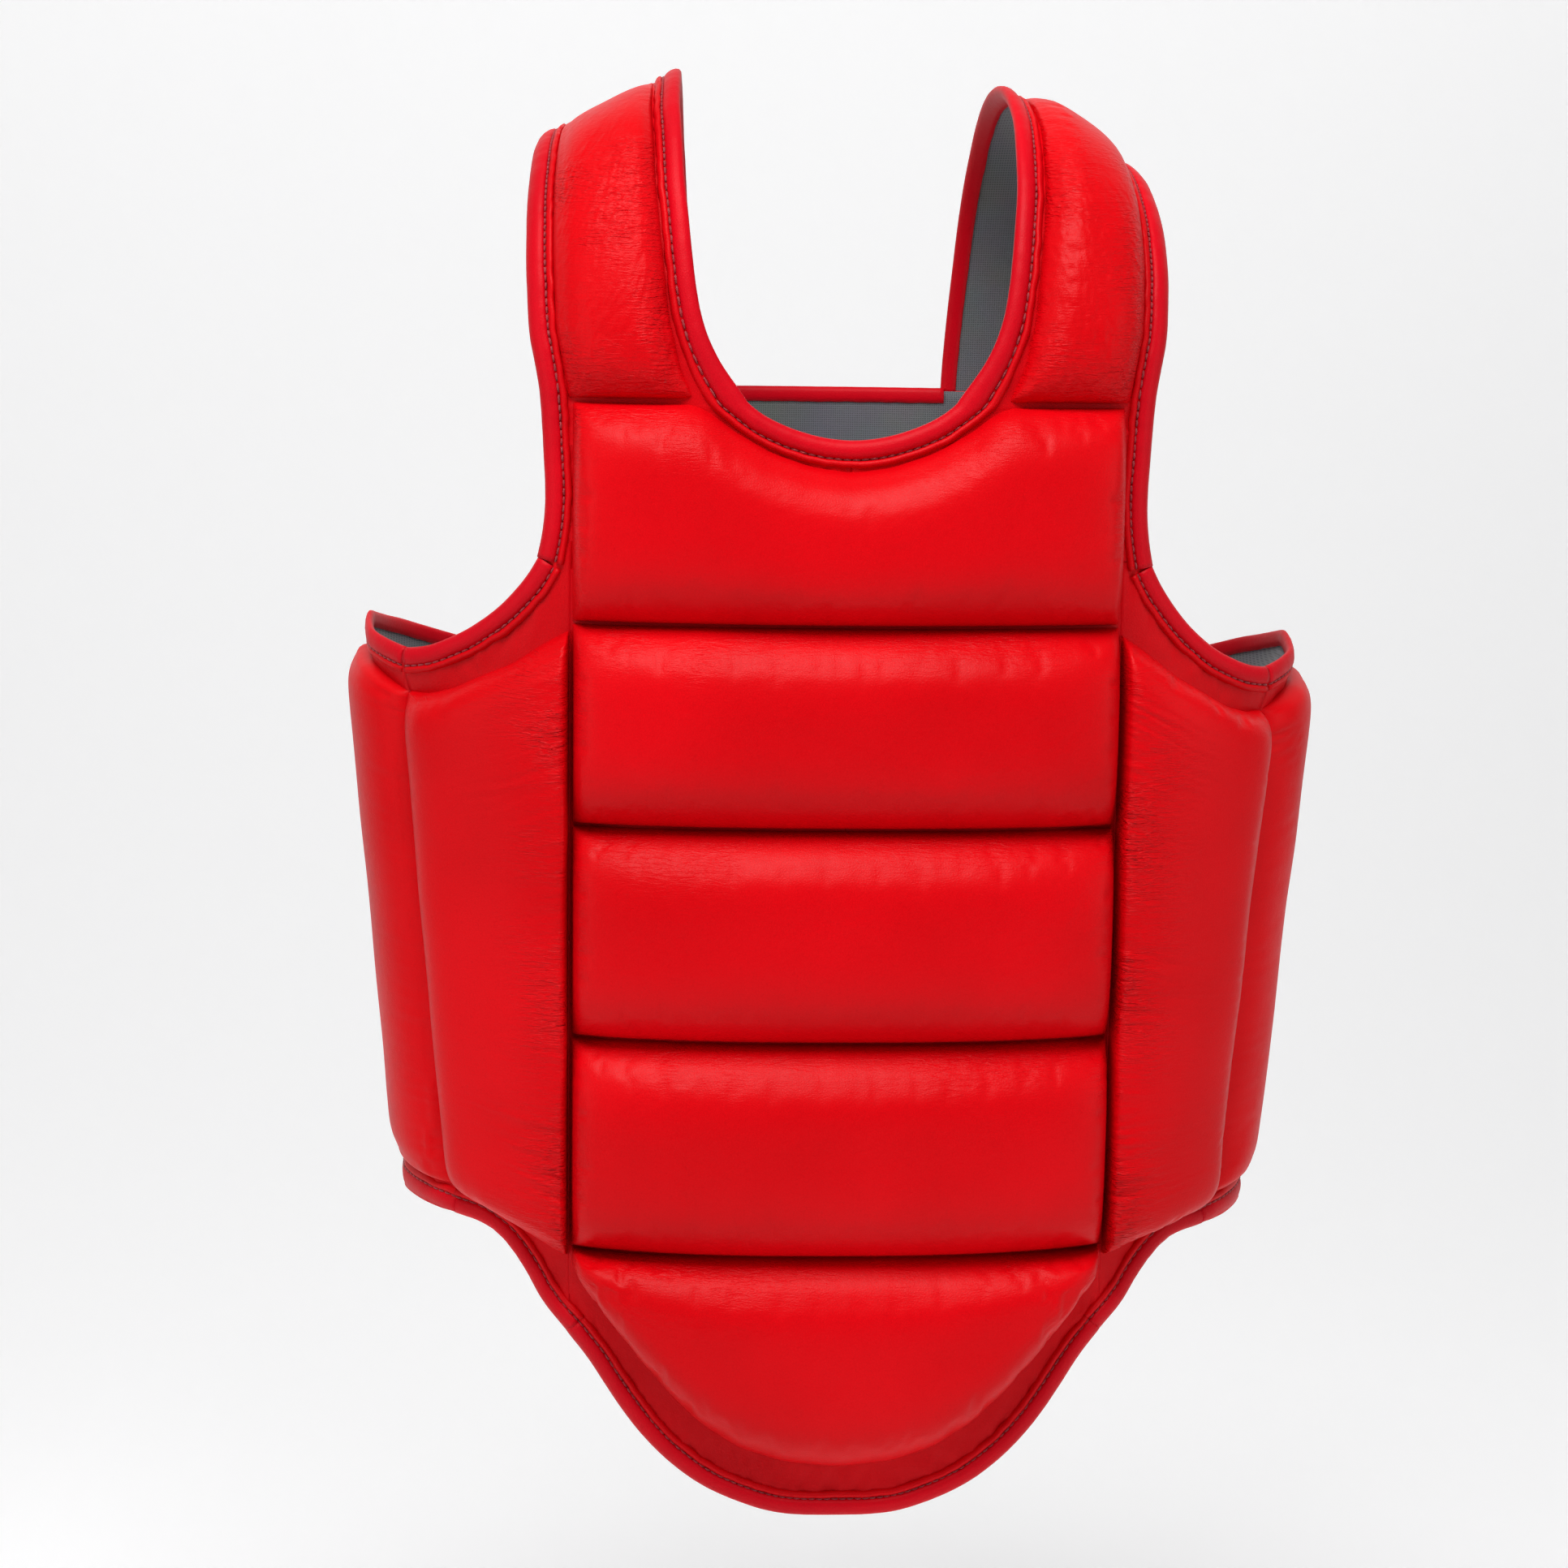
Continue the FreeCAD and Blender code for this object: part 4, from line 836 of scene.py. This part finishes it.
def G(p, z, off):
    """Point on the front below the chest: p is x up to the seam at 120, then length round the side."""
    p, z, off = np.broadcast_arrays(*[np.asarray(t, float) for t in (p, z, off)])
    s = np.sign(p) + (p == 0)
    q = np.abs(p)
    A = drape(np.minimum(q, 120.0), z, off)
    Bq = wing(np.maximum(seam1(z) + (q - 120.0), 1.0), z, off)
    out = np.where((q > 120.0)[..., None], Bq, A)
    out[..., 0] *= s
    return out


RIM_P = [(120.0, -146.0), (129.0, -158.0), (133.2, -169.0), (138.5, -176.5), (145.5, -185.5), (154.5, -194.5),
         (170.0, -205.0), (186.0, -212.0), (200.0, -214.5), (230.0, -209.0), (258.0, -203.0), (300.0, -212.0),
         (345.0, -226.0), (400.0, -232.0)]
RIM = tab(RIM_P)
HEM = tab([(-10.0, -593.5)] + HEM_PTS + HEM_SIDE[1:])
HEM_X = np.array(HEM_PTS)
REAR = 136.0


def q_end(z):
    return arc_of_phi(REAR, z)


def wing_sheet(lo, hi, q_from, q_to, z_from, z_to, nu, nv, detail=None):
    s, t = np.linspace(0, 1, nu)[:, None], np.linspace(0, 1, nv)[None, :]
    zf, zt = np.full((nu, nv), -460.0), np.full((nu, nv), -220.0)
    for _ in range(5):
        zf = z_from(q_from(zf) + (q_to(zf) - q_from(zf)) * s) if callable(z_from) else np.full((nu, nv), z_from)
        zt = z_to(q_from(zt) + (q_to(zt) - q_from(zt)) * s) if callable(z_to) else np.full((nu, nv), z_to)
    z = zf + (zt - zf) * t
    q = q_from(z) + (q_to(z) - q_from(z)) * s
    d = None
    if detail is not None:
        e = np.minimum(np.abs(z - zf) if callable(z_from) else 99.0, np.abs(zt - z) if callable(z_to) else 99.0)
        d = detail(z, q, e + 2.2)
    return sheet_part(lambda off: wing(q, z, off), lo, hi, d)


MID = -335.0
for side, mir in (("left", False), ("right", True)):
    F = (lambda p: flip(p)) if mir else (lambda p: p)
    sd = 131 if mir else 141
    rim_in = lambda q: RIM(q) - 2.2
    hem_in = lambda q: np.minimum(HEM(q - 1.2) + 2.2, -471.0)
    corner = lambda q: HEM(q - 1.2) + 2.2
    s1 = lambda z: seam1(z) - 0.6
    s2 = lambda z: seam2(z)
    for lo, hi, mat, tag, det, slot in ((SHELL_LO, SHELL_HI, MARG, "leather", margin_folds(sd, 0.8, 5.5), "leather"),
                                        (0.0, LIN, LINING, "lining", None, "lining")):
        a = wing_sheet(lo, hi, s1, s2, MID, rim_in, 40, 60, det)
        o1 = mesh(side + "_side_front_upper_" + tag, *F(a), mat)
        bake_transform(o1)
        b = wing_sheet(lo, hi, s1, s2, corner, MID, 40, 50, det)
        o2 = mesh(side + "_side_front_lower_" + tag, *F(b), mat)
        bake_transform(o2)
        c = wing_sheet(lo, hi, s2, lambda z: q_end(z) - 2.0, hem_in, rim_in, 60, 90, det)
        o3 = mesh(side + "_side_rear_" + tag, *F(c), mat)
        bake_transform(o3)
        if slot == "lining":
            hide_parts(side + "_side_front_lining")
            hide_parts(side + "_side_rear_lining")


def apron_sheet(lo, hi, detail=None):
    """From the apron seam to the hem, across the front and a little round each side."""
    p = np.linspace(-120.0, 120.0, 150)[:, None]
    t = np.linspace(0, 1, 60)[None, :]
    zb = HEM(np.abs(p)) + 2.2
    z = S4 - 0.3 + (np.minimum(zb, S4 - 2.0) - S4 + 0.3) * (1 - t)
    P = np.broadcast_to(p, z.shape)
    d = None if detail is None else detail(z * 0 + P, z, (z - zb) + 2.2)
    return sheet_part(lambda off: G(P, z, off), lo, hi, d)


def hem_folds(seed):
    def f(x, z, e):
        n = noise(x / 5.0, z / 14.0, seed) + 0.6 * noise(x / 2.8, z / 10.0, seed + 1)
        return 0.75 * n * np.exp(-((e - 14.0) / 8.0) ** 2) + 0.25 * noise(x / 12.0, z / 12.0, seed + 2)
    return f


ob = mesh("apron_leather", *apron_sheet(SHELL_LO, SHELL_HI, hem_folds(151)), MARG)
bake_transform(ob)
ob = mesh("apron_body_lining", *apron_sheet(0.0, LIN), LINING)
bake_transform(ob)
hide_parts("apron_lining")


# back piece: yoke, spine and the lining behind them
def back_x(z):
    return np.interp(z, [-440.0, -432.0, -226.0, -206.0, -194.0, -182.0, -98.0],
                     [80.0, 84.0, 84.0, 90.0, 112.0, 129.0, 131.0])


def back_part(lo, hi, inset, detail=None):
    zs = np.concatenate([np.arange(-436.0 + inset, -101.0, 3.0), [-99.2]])
    s = np.linspace(-1, 1, 70)[:, None]
    X = s * (back_x(zs) - inset)[None, :]
    Z = np.broadcast_to(zs[None, :], X.shape)
    d = None if detail is None else detail(X, Z, np.minimum((1 - np.abs(s)) * 110.0, 99.0) + 2.2)
    part = sheet_part(lambda off: back_sheet(X, Z, off), lo, hi, d)
    return part[0], [tuple(reversed(f)) for f in part[1]]


ob = mesh("back_leather", *back_part(SHELL_LO, SHELL_HI, 2.2, margin_folds(161, 0.5, 5.0)), MARG, "back")
ob = mesh("back_body_lining", *back_part(0.0, LIN, 2.2), LINING, "back")
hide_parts("back_lining")

# ---------------------------------------------------------------- bindings
TAPE = [(6.5, 3.1), (6.2, 4.3), (5.2, 5.1), (3.4, 5.5), (1.4, 5.2), (-0.3, 4.2), (-1.3, 2.6), (-1.4, 0.7),
        (-0.6, -0.7), (1.0, -1.3), (3.6, -1.4), (5.6, -1.0), (6.1, -0.2), (6.2, 1.5)]
CORD = [(7.1, 2.9), (7.3, 4.2), (8.0, 5.0), (8.8, 5.2), (9.6, 4.8), (10.2, 3.9), (10.4, 2.9), (8.8, 2.4)]


def chaikin(p, n=2, closed=False):
    p = np.array(p, float)
    for _ in range(n):
        if closed:
            r = np.roll(p, -1, 0)
            p = np.stack([0.75 * p + 0.25 * r, 0.25 * p + 0.75 * r], 1).reshape(-1, p.shape[1])
        else:
            a, b = p[:-1], p[1:]
            m = np.stack([0.75 * a + 0.25 * b, 0.25 * a + 0.75 * b], 1).reshape(-1, p.shape[1])
            p = np.concatenate([p[:1], m, p[-1:]])
    return p


def resample(p, step, closed=False):
    if closed:
        p = np.concatenate([p, p[:1]])
    d = np.concatenate([[0], np.cumsum(np.hypot(*np.diff(p, axis=0).T))])
    n = max(8, int(round(d[-1] / step)))
    s = np.linspace(0, d[-1], n + 1)
    if closed:
        s = s[:-1]
    return np.stack([np.interp(s, d, p[:, k]) for k in (0, 1)], -1), s, d[-1]


def edge_frame(p, closed, sign):
    if closed:
        t = np.roll(p, -1, 0) - np.roll(p, 1, 0)
    else:
        t = np.gradient(p, axis=0)
    t = t / np.maximum(np.hypot(t[:, 0], t[:, 1]), 1e-6)[:, None]
    return sign * np.stack([-t[:, 1], t[:, 0]], -1)


def sweep(P, pts, profile, sign, seed, closed=False, step=2.2, wob=0.35, dd=0.0):
    p, s, L = resample(chaikin(pts, 3, closed), step, closed)
    n = edge_frame(p, closed, sign)
    pr = np.array(profile)
    d = pr[:, 0][None, :] + dd
    o = pr[:, 1][None, :]
    wv = wob * noise(s / 6.5, seed * 1.7, seed)[:, None]
    w2 = 0.5 * wob * noise(s / 3.1, seed * 2.3, seed + 1)[:, None]
    top = np.clip(o / 4.0, 0, 1)
    d = d + wv * np.clip(np.abs(d) / 9.0, 0, 1)
    o = o + (wv * 0.5 + w2) * top
    a = p[:, 0][:, None] + n[:, 0][:, None] * d
    b = p[:, 1][:, None] + n[:, 1][:, None] * d
    V = P(a, b, o)
    ns, k = V.shape[:2]
    f = []
    m = ns if closed else ns - 1
    for i in range(m):
        j = (i + 1) % ns
        for q in range(k):
            r = (q + 1) % k
            f.append((i * k + q, i * k + r, j * k + r, j * k + q))
    if not closed:
        f.append(tuple(range(k - 1, -1, -1)))
        f.append(tuple((ns - 1) * k + q for q in range(k)))
    v = V.reshape(-1, 3)
    # outward faces: signed volume
    q = np.array([(x[0], x[1], x[2]) for x in f if len(x) == 4] + [(x[0], x[2], x[3]) for x in f if len(x) == 4])
    c = v - v.mean(0)
    vol = np.einsum("ij,ij->i", c[q[:, 0]], np.cross(c[q[:, 1]], c[q[:, 2]])).sum()
    if vol < 0:
        f = [tuple(reversed(x)) for x in f]
    return v, f


def stitches(P, pts, sign, d, off, closed=False, pitch=3.5, length=2.5, rad=0.45):
    """Short sewn stitches, each one a small rounded bar."""
    p, s, L = resample(chaikin(pts, 3, closed), 0.5, closed)
    n = edge_frame(p, closed, sign)
    cnt = int(L / pitch)
    V, Fc = [], []
    at = (np.arange(cnt) + 0.5) * L / cnt
    A = np.stack([np.interp(at + e, s, p[:, k] + n[:, k] * d) for e in (-length / 2, 0, length / 2) for k in (0, 1)], -1)
    q = P(A[:, [0, 2, 4]], A[:, [1, 3, 5]], np.full((cnt, 3), off) + np.array([-0.35, 0.1, -0.35]))
    up_ = P(A[:, 2], A[:, 3], np.full(cnt, off + 1.0)) - q[:, 1]
    up_ /= np.linalg.norm(up_, axis=1)[:, None]
    ax = q[:, 2] - q[:, 0]
    ax /= np.maximum(np.linalg.norm(ax, axis=1), 1e-6)[:, None]
    sd = np.cross(up_, ax)
    ring = [(math.cos(t), math.sin(t)) for t in np.linspace(0, 2 * math.pi, 7)[:-1]]
    for i in range(cnt):
        base = len(V)
        for c, r in ((q[i, 0] - ax[i] * 0.25, 0.15), (q[i, 0], rad * 0.8), (q[i, 1], rad), (q[i, 2], rad * 0.8),
                     (q[i, 2] + ax[i] * 0.25, 0.15)):
            for x, y in ring:
                V.append(c + sd[i] * x * r + up_[i] * y * r)
        for k in range(4):
            for m in range(6):
                a0, b0 = base + k * 6 + m, base + k * 6 + (m + 1) % 6
                Fc.append((a0, b0, b0 + 6, a0 + 6))
        Fc.append(tuple(base + m for m in range(5, -1, -1)))
        Fc.append(tuple(base + 24 + m for m in range(6)))
    return np.array(V), Fc


def trim(name, P, pts, sign, seed, blend=None, body=None, nodes=(), closed=False, sides=(False,), cord=True,
         stitch=True):
    """Folded tape round an edge, with the raised seam line and the sewing beside it."""
    out = []
    for kind, mat, parts in (
            ("_tape", BIND, [sweep(P, pts, TAPE, sign, seed, closed)]),
            ("_ridge", MARG, [sweep(P, pts, CORD, sign, seed + 5, closed, wob=0.5)] if cord else []),
            ("_stitching", THREAD, [stitches(P, pts, sign, 6.75, 3.95, closed)] if stitch else [])):
        if not parts:
            continue
        for side in sides:
            parts2 = [flip(q) for q in parts] if side else parts
            v, f = join_parts(parts2)
            nm = name if len(sides) == 1 else ("right_" if side else "left_") + name
            ob = mesh(nm + kind, v, f, mat)
            bl = blend(side) if callable(blend) else blend
            bd = body(side) if callable(body) else body
            if bl:
                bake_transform(ob)
            elif bd:
                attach(ob, bd)
            if kind == "_tape":
                nd = nodes(side) if callable(nodes) else nodes
                if nd:
                    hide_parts(*nd)
            out.append(ob)
    return out


ws = np.arange(254.0, -98.0, -8.0)
half = [(float(NECK_EDGE(w)), float(w)) for w in ws] + [(47.0, -98.0), (36.0, -106.2), (18.0, -113.0), (0.0, -115.4)]
neck_pts = half + [(-x, w) for x, w in reversed(half[:-1])]


def drape_s(x, w, off):
    p = drape(np.abs(x), w, off)
    p[..., 0] = p[..., 0] * np.where(np.asarray(x) < 0, -1.0, 1.0)
    return p


trim("neck_binding", drape_s, neck_pts, 1, 201, blend=SH_BLEND, nodes=["neck_binding"])
arm = [(float(OUTER_EDGE(w)), float(w)) for w in ws] + [(131.8, -98.0), (130.8, -115.0), (129.4, -141.0),
                                                         (130.8, -156.0), (133.2, -167.0)]
trim("armhole_binding", drape_s, arm, -1, 211, blend=lambda s: SH_BLEND, sides=(False, True),
     nodes=lambda s: [("right" if s else "left") + "_armhole_binding"])


def side_name(s):
    return "right" if s else "left"


s2_top, s2_low = float(seam2(-214.0)) - 1.2, float(seam2(-470.0)) - 1.2
rim_pts = [(133.2, -167.0), (138.5, -176.5)] + [(p, float(RIM(p))) for p in np.arange(146.0, s2_top, 6.0)] + \
          [(s2_top, float(RIM(s2_top)))]
trim("wing_top_binding", G, rim_pts, -1, 221, sides=(False, True),
     blend=lambda s: front_blend(side_name(s), s),
     nodes=lambda s: [side_name(s) + "_side_front_binding"])
hem_side = [(120.0, -514.1), (133.0, -502.0), (140.0, -490.0), (149.0, -479.0), (156.0, -474.5), (164.0, -471.5)] + \
           [(p, float(HEM(p))) for p in np.arange(171.0, s2_low - 3.0, 6.0)] + [(s2_low, float(HEM(s2_low)))]
trim("wing_hem_binding", G, hem_side, 1, 231, sides=(False, True),
     blend=lambda s: front_blend(side_name(s), s))
hem_half = [(120.5, -513.6)] + [p for p in reversed(HEM_PTS[:-1])]
hem_pts = hem_half + [(-x, z) for x, z in reversed(hem_half[:-1])]
trim("apron_hem_binding", G, hem_pts, -1, 241, blend=APRON_BLEND, nodes=["apron_binding"])


def Gq(q, z, off):
    return wing(q, z, off)


qt = float(seam2(-214.0))
ql = float(seam2(-470.0))
qe = float(q_end(-300.0))
rear_pts = [(qt, float(RIM(qt)))] + [(q, float(RIM(q))) for q in np.arange(qt + 8, qe - 12, 8.0)] + \
           [(qe - 3.0, float(RIM(qe)) - 1.0), (qe + 0.5, float(RIM(qe)) - 12.0)]
for z in np.arange(-255.0, -445.0, -12.0):
    rear_pts.append((float(q_end(z)), float(z)))
rear_pts += [(float(q_end(-450.0)), -450.0), (float(q_end(-461.0)) - 5.0, -461.5)]
rear_pts += [(q, float(HEM(q))) for q in np.arange(float(q_end(-461.0)) - 16.0, ql + 4.0, -8.0)] + [(ql, float(HEM(ql)))]
trim("side_rear_binding", Gq, rear_pts, -1, 251, sides=(False, True),
     blend=lambda s: flank_blend(side_name(s), s), nodes=lambda s: [side_name(s) + "_side_rear_binding"])


def back_P(x, z, off):
    return back_sheet(x, z, off)


bh = [(131.0, -99.0), (130.8, -140.0), (129.0, -182.0), (112.0, -194.0), (90.0, -206.0), (84.0, -228.0),
      (84.0, -428.0), (79.0, -436.0), (60.0, -437.0), (0.0, -437.0)]
back_pts = bh + [(-x, z) for x, z in reversed(bh[:-1])]
trim("back_binding", back_P, back_pts, -1, 261, body="back", nodes=["back_binding"])
trim("back_neck_binding", back_P, [(62.0, -99.0), (30.0, -99.0), (-30.0, -99.0), (-62.0, -99.0)], 1, 266, body="back")


# ------------------------------------------------------- straps and tapes
def on_panel(x, r):
    return np.array([x, math.sqrt(r * r - x * x) - 286.0])


def plan_line(path, n):
    p = chaikin(path, 3)
    d = np.concatenate([[0], np.cumsum(np.hypot(*np.diff(p, axis=0).T))])
    s = np.linspace(0, d[-1], n)
    p = np.stack([np.interp(s, d, p[:, k]) for k in (0, 1)], -1)
    t = np.gradient(p, axis=0)
    t /= np.hypot(t[:, 0], t[:, 1])[:, None]
    nn = np.stack([t[:, 1], -t[:, 0]], -1)
    nn *= np.sign(nn[:, 1:2])
    return p, nn, s


def ribbon(path, z0, z1, thick, seed, n=90, m=34, rib=0.22, sag=0.6, base=0.0):
    """A flat tape standing on edge: fine cross ribs, rounded selvedges."""
    p, nn, s = plan_line(path, n)
    t = np.linspace(-1, 1, m)
    Z = (z0 + z1) / 2 + t * (z1 - z0) / 2
    S, T = np.meshgrid(s, t, indexing="ij")
    wave = sag * noise(S / 40.0, T * 0.8, seed)
    wave = wave * np.clip(np.minimum(S, s[-1] - S) / 15.0, 0, 1)
    edge = (1 - np.abs(T) ** 14) ** 0.5
    hi = base + thick * (0.55 + 0.45 * edge) + rib * np.sin(S * 2 * math.pi / 3.2) * edge + np.maximum(wave, 0)
    lo = base + thick * 0.45 * (1 - edge) + np.maximum(wave, 0)
    f = lambda h: np.stack([p[:, 0][:, None] + nn[:, 0][:, None] * h, p[:, 1][:, None] + nn[:, 1][:, None] * h,
                            np.broadcast_to(Z[None, :], h.shape)], -1)
    o, i = f(hi), f(lo)
    part = np.concatenate([o.reshape(-1, 3), i.reshape(-1, 3)]), slab_faces(n, m)
    v = part[0]
    c = v - v.mean(0)
    q = np.array(part[1])
    vol = np.einsum("ij,ij->i", c[q[:, 0]], np.cross(c[q[:, 1]], c[q[:, 2]])).sum()
    return part if vol > 0 else (v, [tuple(reversed(x)) for x in part[1]])


def box_stitch(path, s0, s1, z0, z1, h):
    """Sewn rectangle with a cross, on a tape that follows path."""
    p, nn, s = plan_line(path, 200)

    def P(a, b, off):
        a = np.asarray(a, float)
        x = np.interp(a, s, p[:, 0]) + np.interp(a, s, nn[:, 0]) * off
        y = np.interp(a, s, p[:, 1]) + np.interp(a, s, nn[:, 1]) * off
        return np.stack([x, y, np.asarray(b, float) + 0 * x], -1)
    parts = []
    for a, b in (((s0, z0), (s1, z0)), ((s1, z0), (s1, z1)), ((s1, z1), (s0, z1)), ((s0, z1), (s0, z0)),
                 ((s0, z0), (s1, z1)), ((s0, z1), (s1, z0))):
        parts.append(stitches(P, [a, b], 1, 0.0, h, pitch=3.2, length=2.2, rad=0.4))
    return join_parts(parts)


root = {"upper": None, "lower": None}
for level, zb in (("upper", -300.0), ("lower", -412.0)):
    zm = zb + 25.0
    ph = 134.8
    rt = plan_phi(np.array([ph]), np.array([zm]), np.array([7.4]))[0]
    r = 417.05
    q1, q2, q3 = on_panel(72.0, r + 0.6), on_panel(60.0, r), on_panel(48.0, r)
    m1 = (rt[0] * 0.62 + q1[0] * 0.38, rt[1] * 0.62 + q1[1] * 0.38 + 3.0)
    m2 = (rt[0] * 0.28 + q1[0] * 0.72, rt[1] * 0.28 + q1[1] * 0.72 + 3.2)
    out = np.hypot(m1[0] - rt[0], m1[1] - rt[1])
    path = [(rt[0] + (m1[0] - rt[0]) * 1.6 / out, rt[1] + (m1[1] - rt[1]) * 1.6 / out), m1, m2, tuple(q1), tuple(q2),
            tuple(q3)]
    tabp = [(48.0, q3[1]), tuple(on_panel(36.0, r)), tuple(on_panel(24.0, r)), tuple(on_panel(12.0, r))]
    for side, mir in (("left", False), ("right", True)):
        body = "%s_%s_closure" % (side, level)
        F = flip if mir else (lambda p: p)
        sd = 300 + 7 * len(body) + (5 if mir else 0)
        ob = mesh("%s_%s_strap_webbing" % (side, level), *F(ribbon(path, zb, zb + 50.0, 2.2, sd)), WEB, body)
        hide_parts("%s_%s_strap" % (side, level))
        ob = mesh("%s_%s_hook_tab_tape" % (side, level),
                  *F(ribbon(tabp, zb - 3.0, zb + 53.0, 3.4, sd + 1, n=40, rib=0.12, sag=0.2)), HOOK, body)
        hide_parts("%s_%s_hook_tab" % (side, level))
        ob = mesh("%s_%s_tab_stitching" % (side, level), *F(box_stitch(tabp, 4.0, 32.0, zb + 3.0, zb + 47.0, 3.5)),
                  WEB, body)
        ob = mesh("%s_%s_strap_stitching" % (side, level), *F(box_stitch(path, 4.0, 22.0, zb + 5.0, zb + 45.0, 2.45)),
                  THREAD, body)

for side, mir in (("left", False), ("right", True)):
    zs = np.linspace(-418.0, -242.0, 120)
    xs = np.linspace(8.0, 66.0, 60)
    X, Z = np.meshgrid(xs, zs, indexing="ij")
    e = np.minimum(np.minimum(X - 8.0, 66.0 - X), np.minimum(Z + 418.0, -242.0 - Z))
    fuzz = 0.16 * noise(X / 1.6, Z / 1.6, 401) + 0.10 * noise(X / 0.8, Z / 0.8, 402)
    hi = 17.5 + np.clip(e / 1.5, 0, 1) * 0.9 + fuzz
    o, i = back_sheet(X, Z, hi), back_sheet(X, Z, np.full(X.shape, 17.1))
    part = np.concatenate([o.reshape(-1, 3), i.reshape(-1, 3)]), [tuple(reversed(f)) for f in slab_faces(60, 120)]
    ob = mesh(side + "_loop_tape", *(flip(part) if mir else part), HOOK, "back")
    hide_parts(side + "_loop_patch")

# ------------------------------------------------------------------- stage
scene = bpy.context.scene
scene.view_settings.view_transform = "Standard"

W = bpy.data.worlds.new("studio")
scene.world = W
W.use_nodes = True
bg = W.node_tree.nodes["Background"]
bg.inputs["Color"].default_value = (1, 1, 1, 1)
bg.inputs["Strength"].default_value = 0.17

fm, ft, fp = tree("floor_white")
fno = node(ft, "ShaderNodeTexNoise", Scale=3.0, Detail=2.0)
frp = node(ft, "ShaderNodeValToRGB")
frp.color_ramp.elements[0].color, frp.color_ramp.elements[1].color = (0.93, 0.93, 0.935, 1), (0.95, 0.95, 0.955, 1)
ft.links.new(fno.outputs["Fac"], frp.inputs["Fac"])
ft.links.new(frp.outputs["Color"], fp.inputs["Base Color"])
fp.inputs["Roughness"].default_value = 0.9
# painted light: the backdrop glows with its own emission, stronger towards the top, which keeps it white, brightens
# it higher up and throws light onto the guard
fp.inputs["Emission Color"].default_value = (1, 1, 1, 1)
ftc = node(ft, "ShaderNodeTexCoord")
fsx = node(ft, "ShaderNodeSeparateXYZ")
fmr = node(ft, "ShaderNodeMapRange")
fmr.inputs["From Min"].default_value, fmr.inputs["From Max"].default_value = -0.95, 0.6
fmr.inputs["To Min"].default_value, fmr.inputs["To Max"].default_value = 0.17, 0.29
ft.links.new(ftc.outputs["Object"], fsx.inputs["Vector"])
ft.links.new(fsx.outputs["Z"], fmr.inputs["Value"])
ft.links.new(fmr.outputs["Result"], fp.inputs["Emission Strength"])
FZ = -0.95
n, R = 40, 6.0
fv, ff = [], []
prof_pts = [(-6.0, FZ), (1.0, FZ)] + [(1.0 + 1.4 * math.sin(a), FZ + 1.4 * (1 - math.cos(a)))
                                      for a in np.linspace(0.1, math.pi / 2, 14)] + [(2.4, 6.0)]
for y, z in prof_pts:
    fv += [(-6.0, y, z), (6.0, y, z)]
for i in range(len(prof_pts) - 1):
    ff.append((2 * i, 2 * i + 1, 2 * i + 3, 2 * i + 2))
fme = bpy.data.meshes.new("floor")
fme.from_pydata(fv, [], ff)
fme.polygons.foreach_set("use_smooth", [True] * len(fme.polygons))
fme.materials.append(fm)
floor = bpy.data.objects.new("floor", fme)
scene.collection.objects.link(floor)


def area(name, loc, look, size, power, color=(1, 1, 1)):
    li = bpy.data.lights.new(name, "AREA")
    li.shape = "RECTANGLE"
    li.size, li.size_y = size
    li.energy = power
    li.color = color
    ob = bpy.data.objects.new(name, li)
    ob.location = loc
    d = Vector(look) - Vector(loc)
    ob.rotation_euler = d.to_track_quat("-Z", "Y").to_euler()
    scene.collection.objects.link(ob)
    return ob


area("key_top", (-0.25, -1.05, 1.45), (0, -0.05, -0.30), (1.4, 0.8), 50)
area("fill_left", (-1.9, -1.1, 0.1), (0, 0, -0.30), (0.9, 1.4), 8)
area("fill_right", (1.9, -1.0, 0.1), (0, 0, -0.30), (0.9, 1.4), 8)

AZ, EL, ROLL, DIST, FPX = -3.208, 8.886, -0.7735, 1.5, 3929.0
AIM = Vector((-0.0207, 0.0, -0.280))
a, e = math.radians(AZ), math.radians(EL)
back_dir = Vector((math.sin(a) * math.cos(e), -math.cos(a) * math.cos(e), math.sin(e)))
fwd = -back_dir
right = fwd.cross(Vector((0, 0, 1))).normalized()
up = right.cross(fwd)
r_ = math.radians(ROLL)
up = (up * math.cos(r_) + right * math.sin(r_)).normalized()
right = fwd.cross(up).normalized()
cam_data = bpy.data.cameras.new("camera")
cam_data.sensor_width = 36.0
cam_data.lens = 36.0 * FPX / 1932.0
cam = bpy.data.objects.new("camera", cam_data)
M = Matrix((right, up, back_dir)).transposed().to_4x4()
M.translation = AIM + back_dir * DIST
cam.matrix_world = M
scene.collection.objects.link(cam)
scene.camera = cam
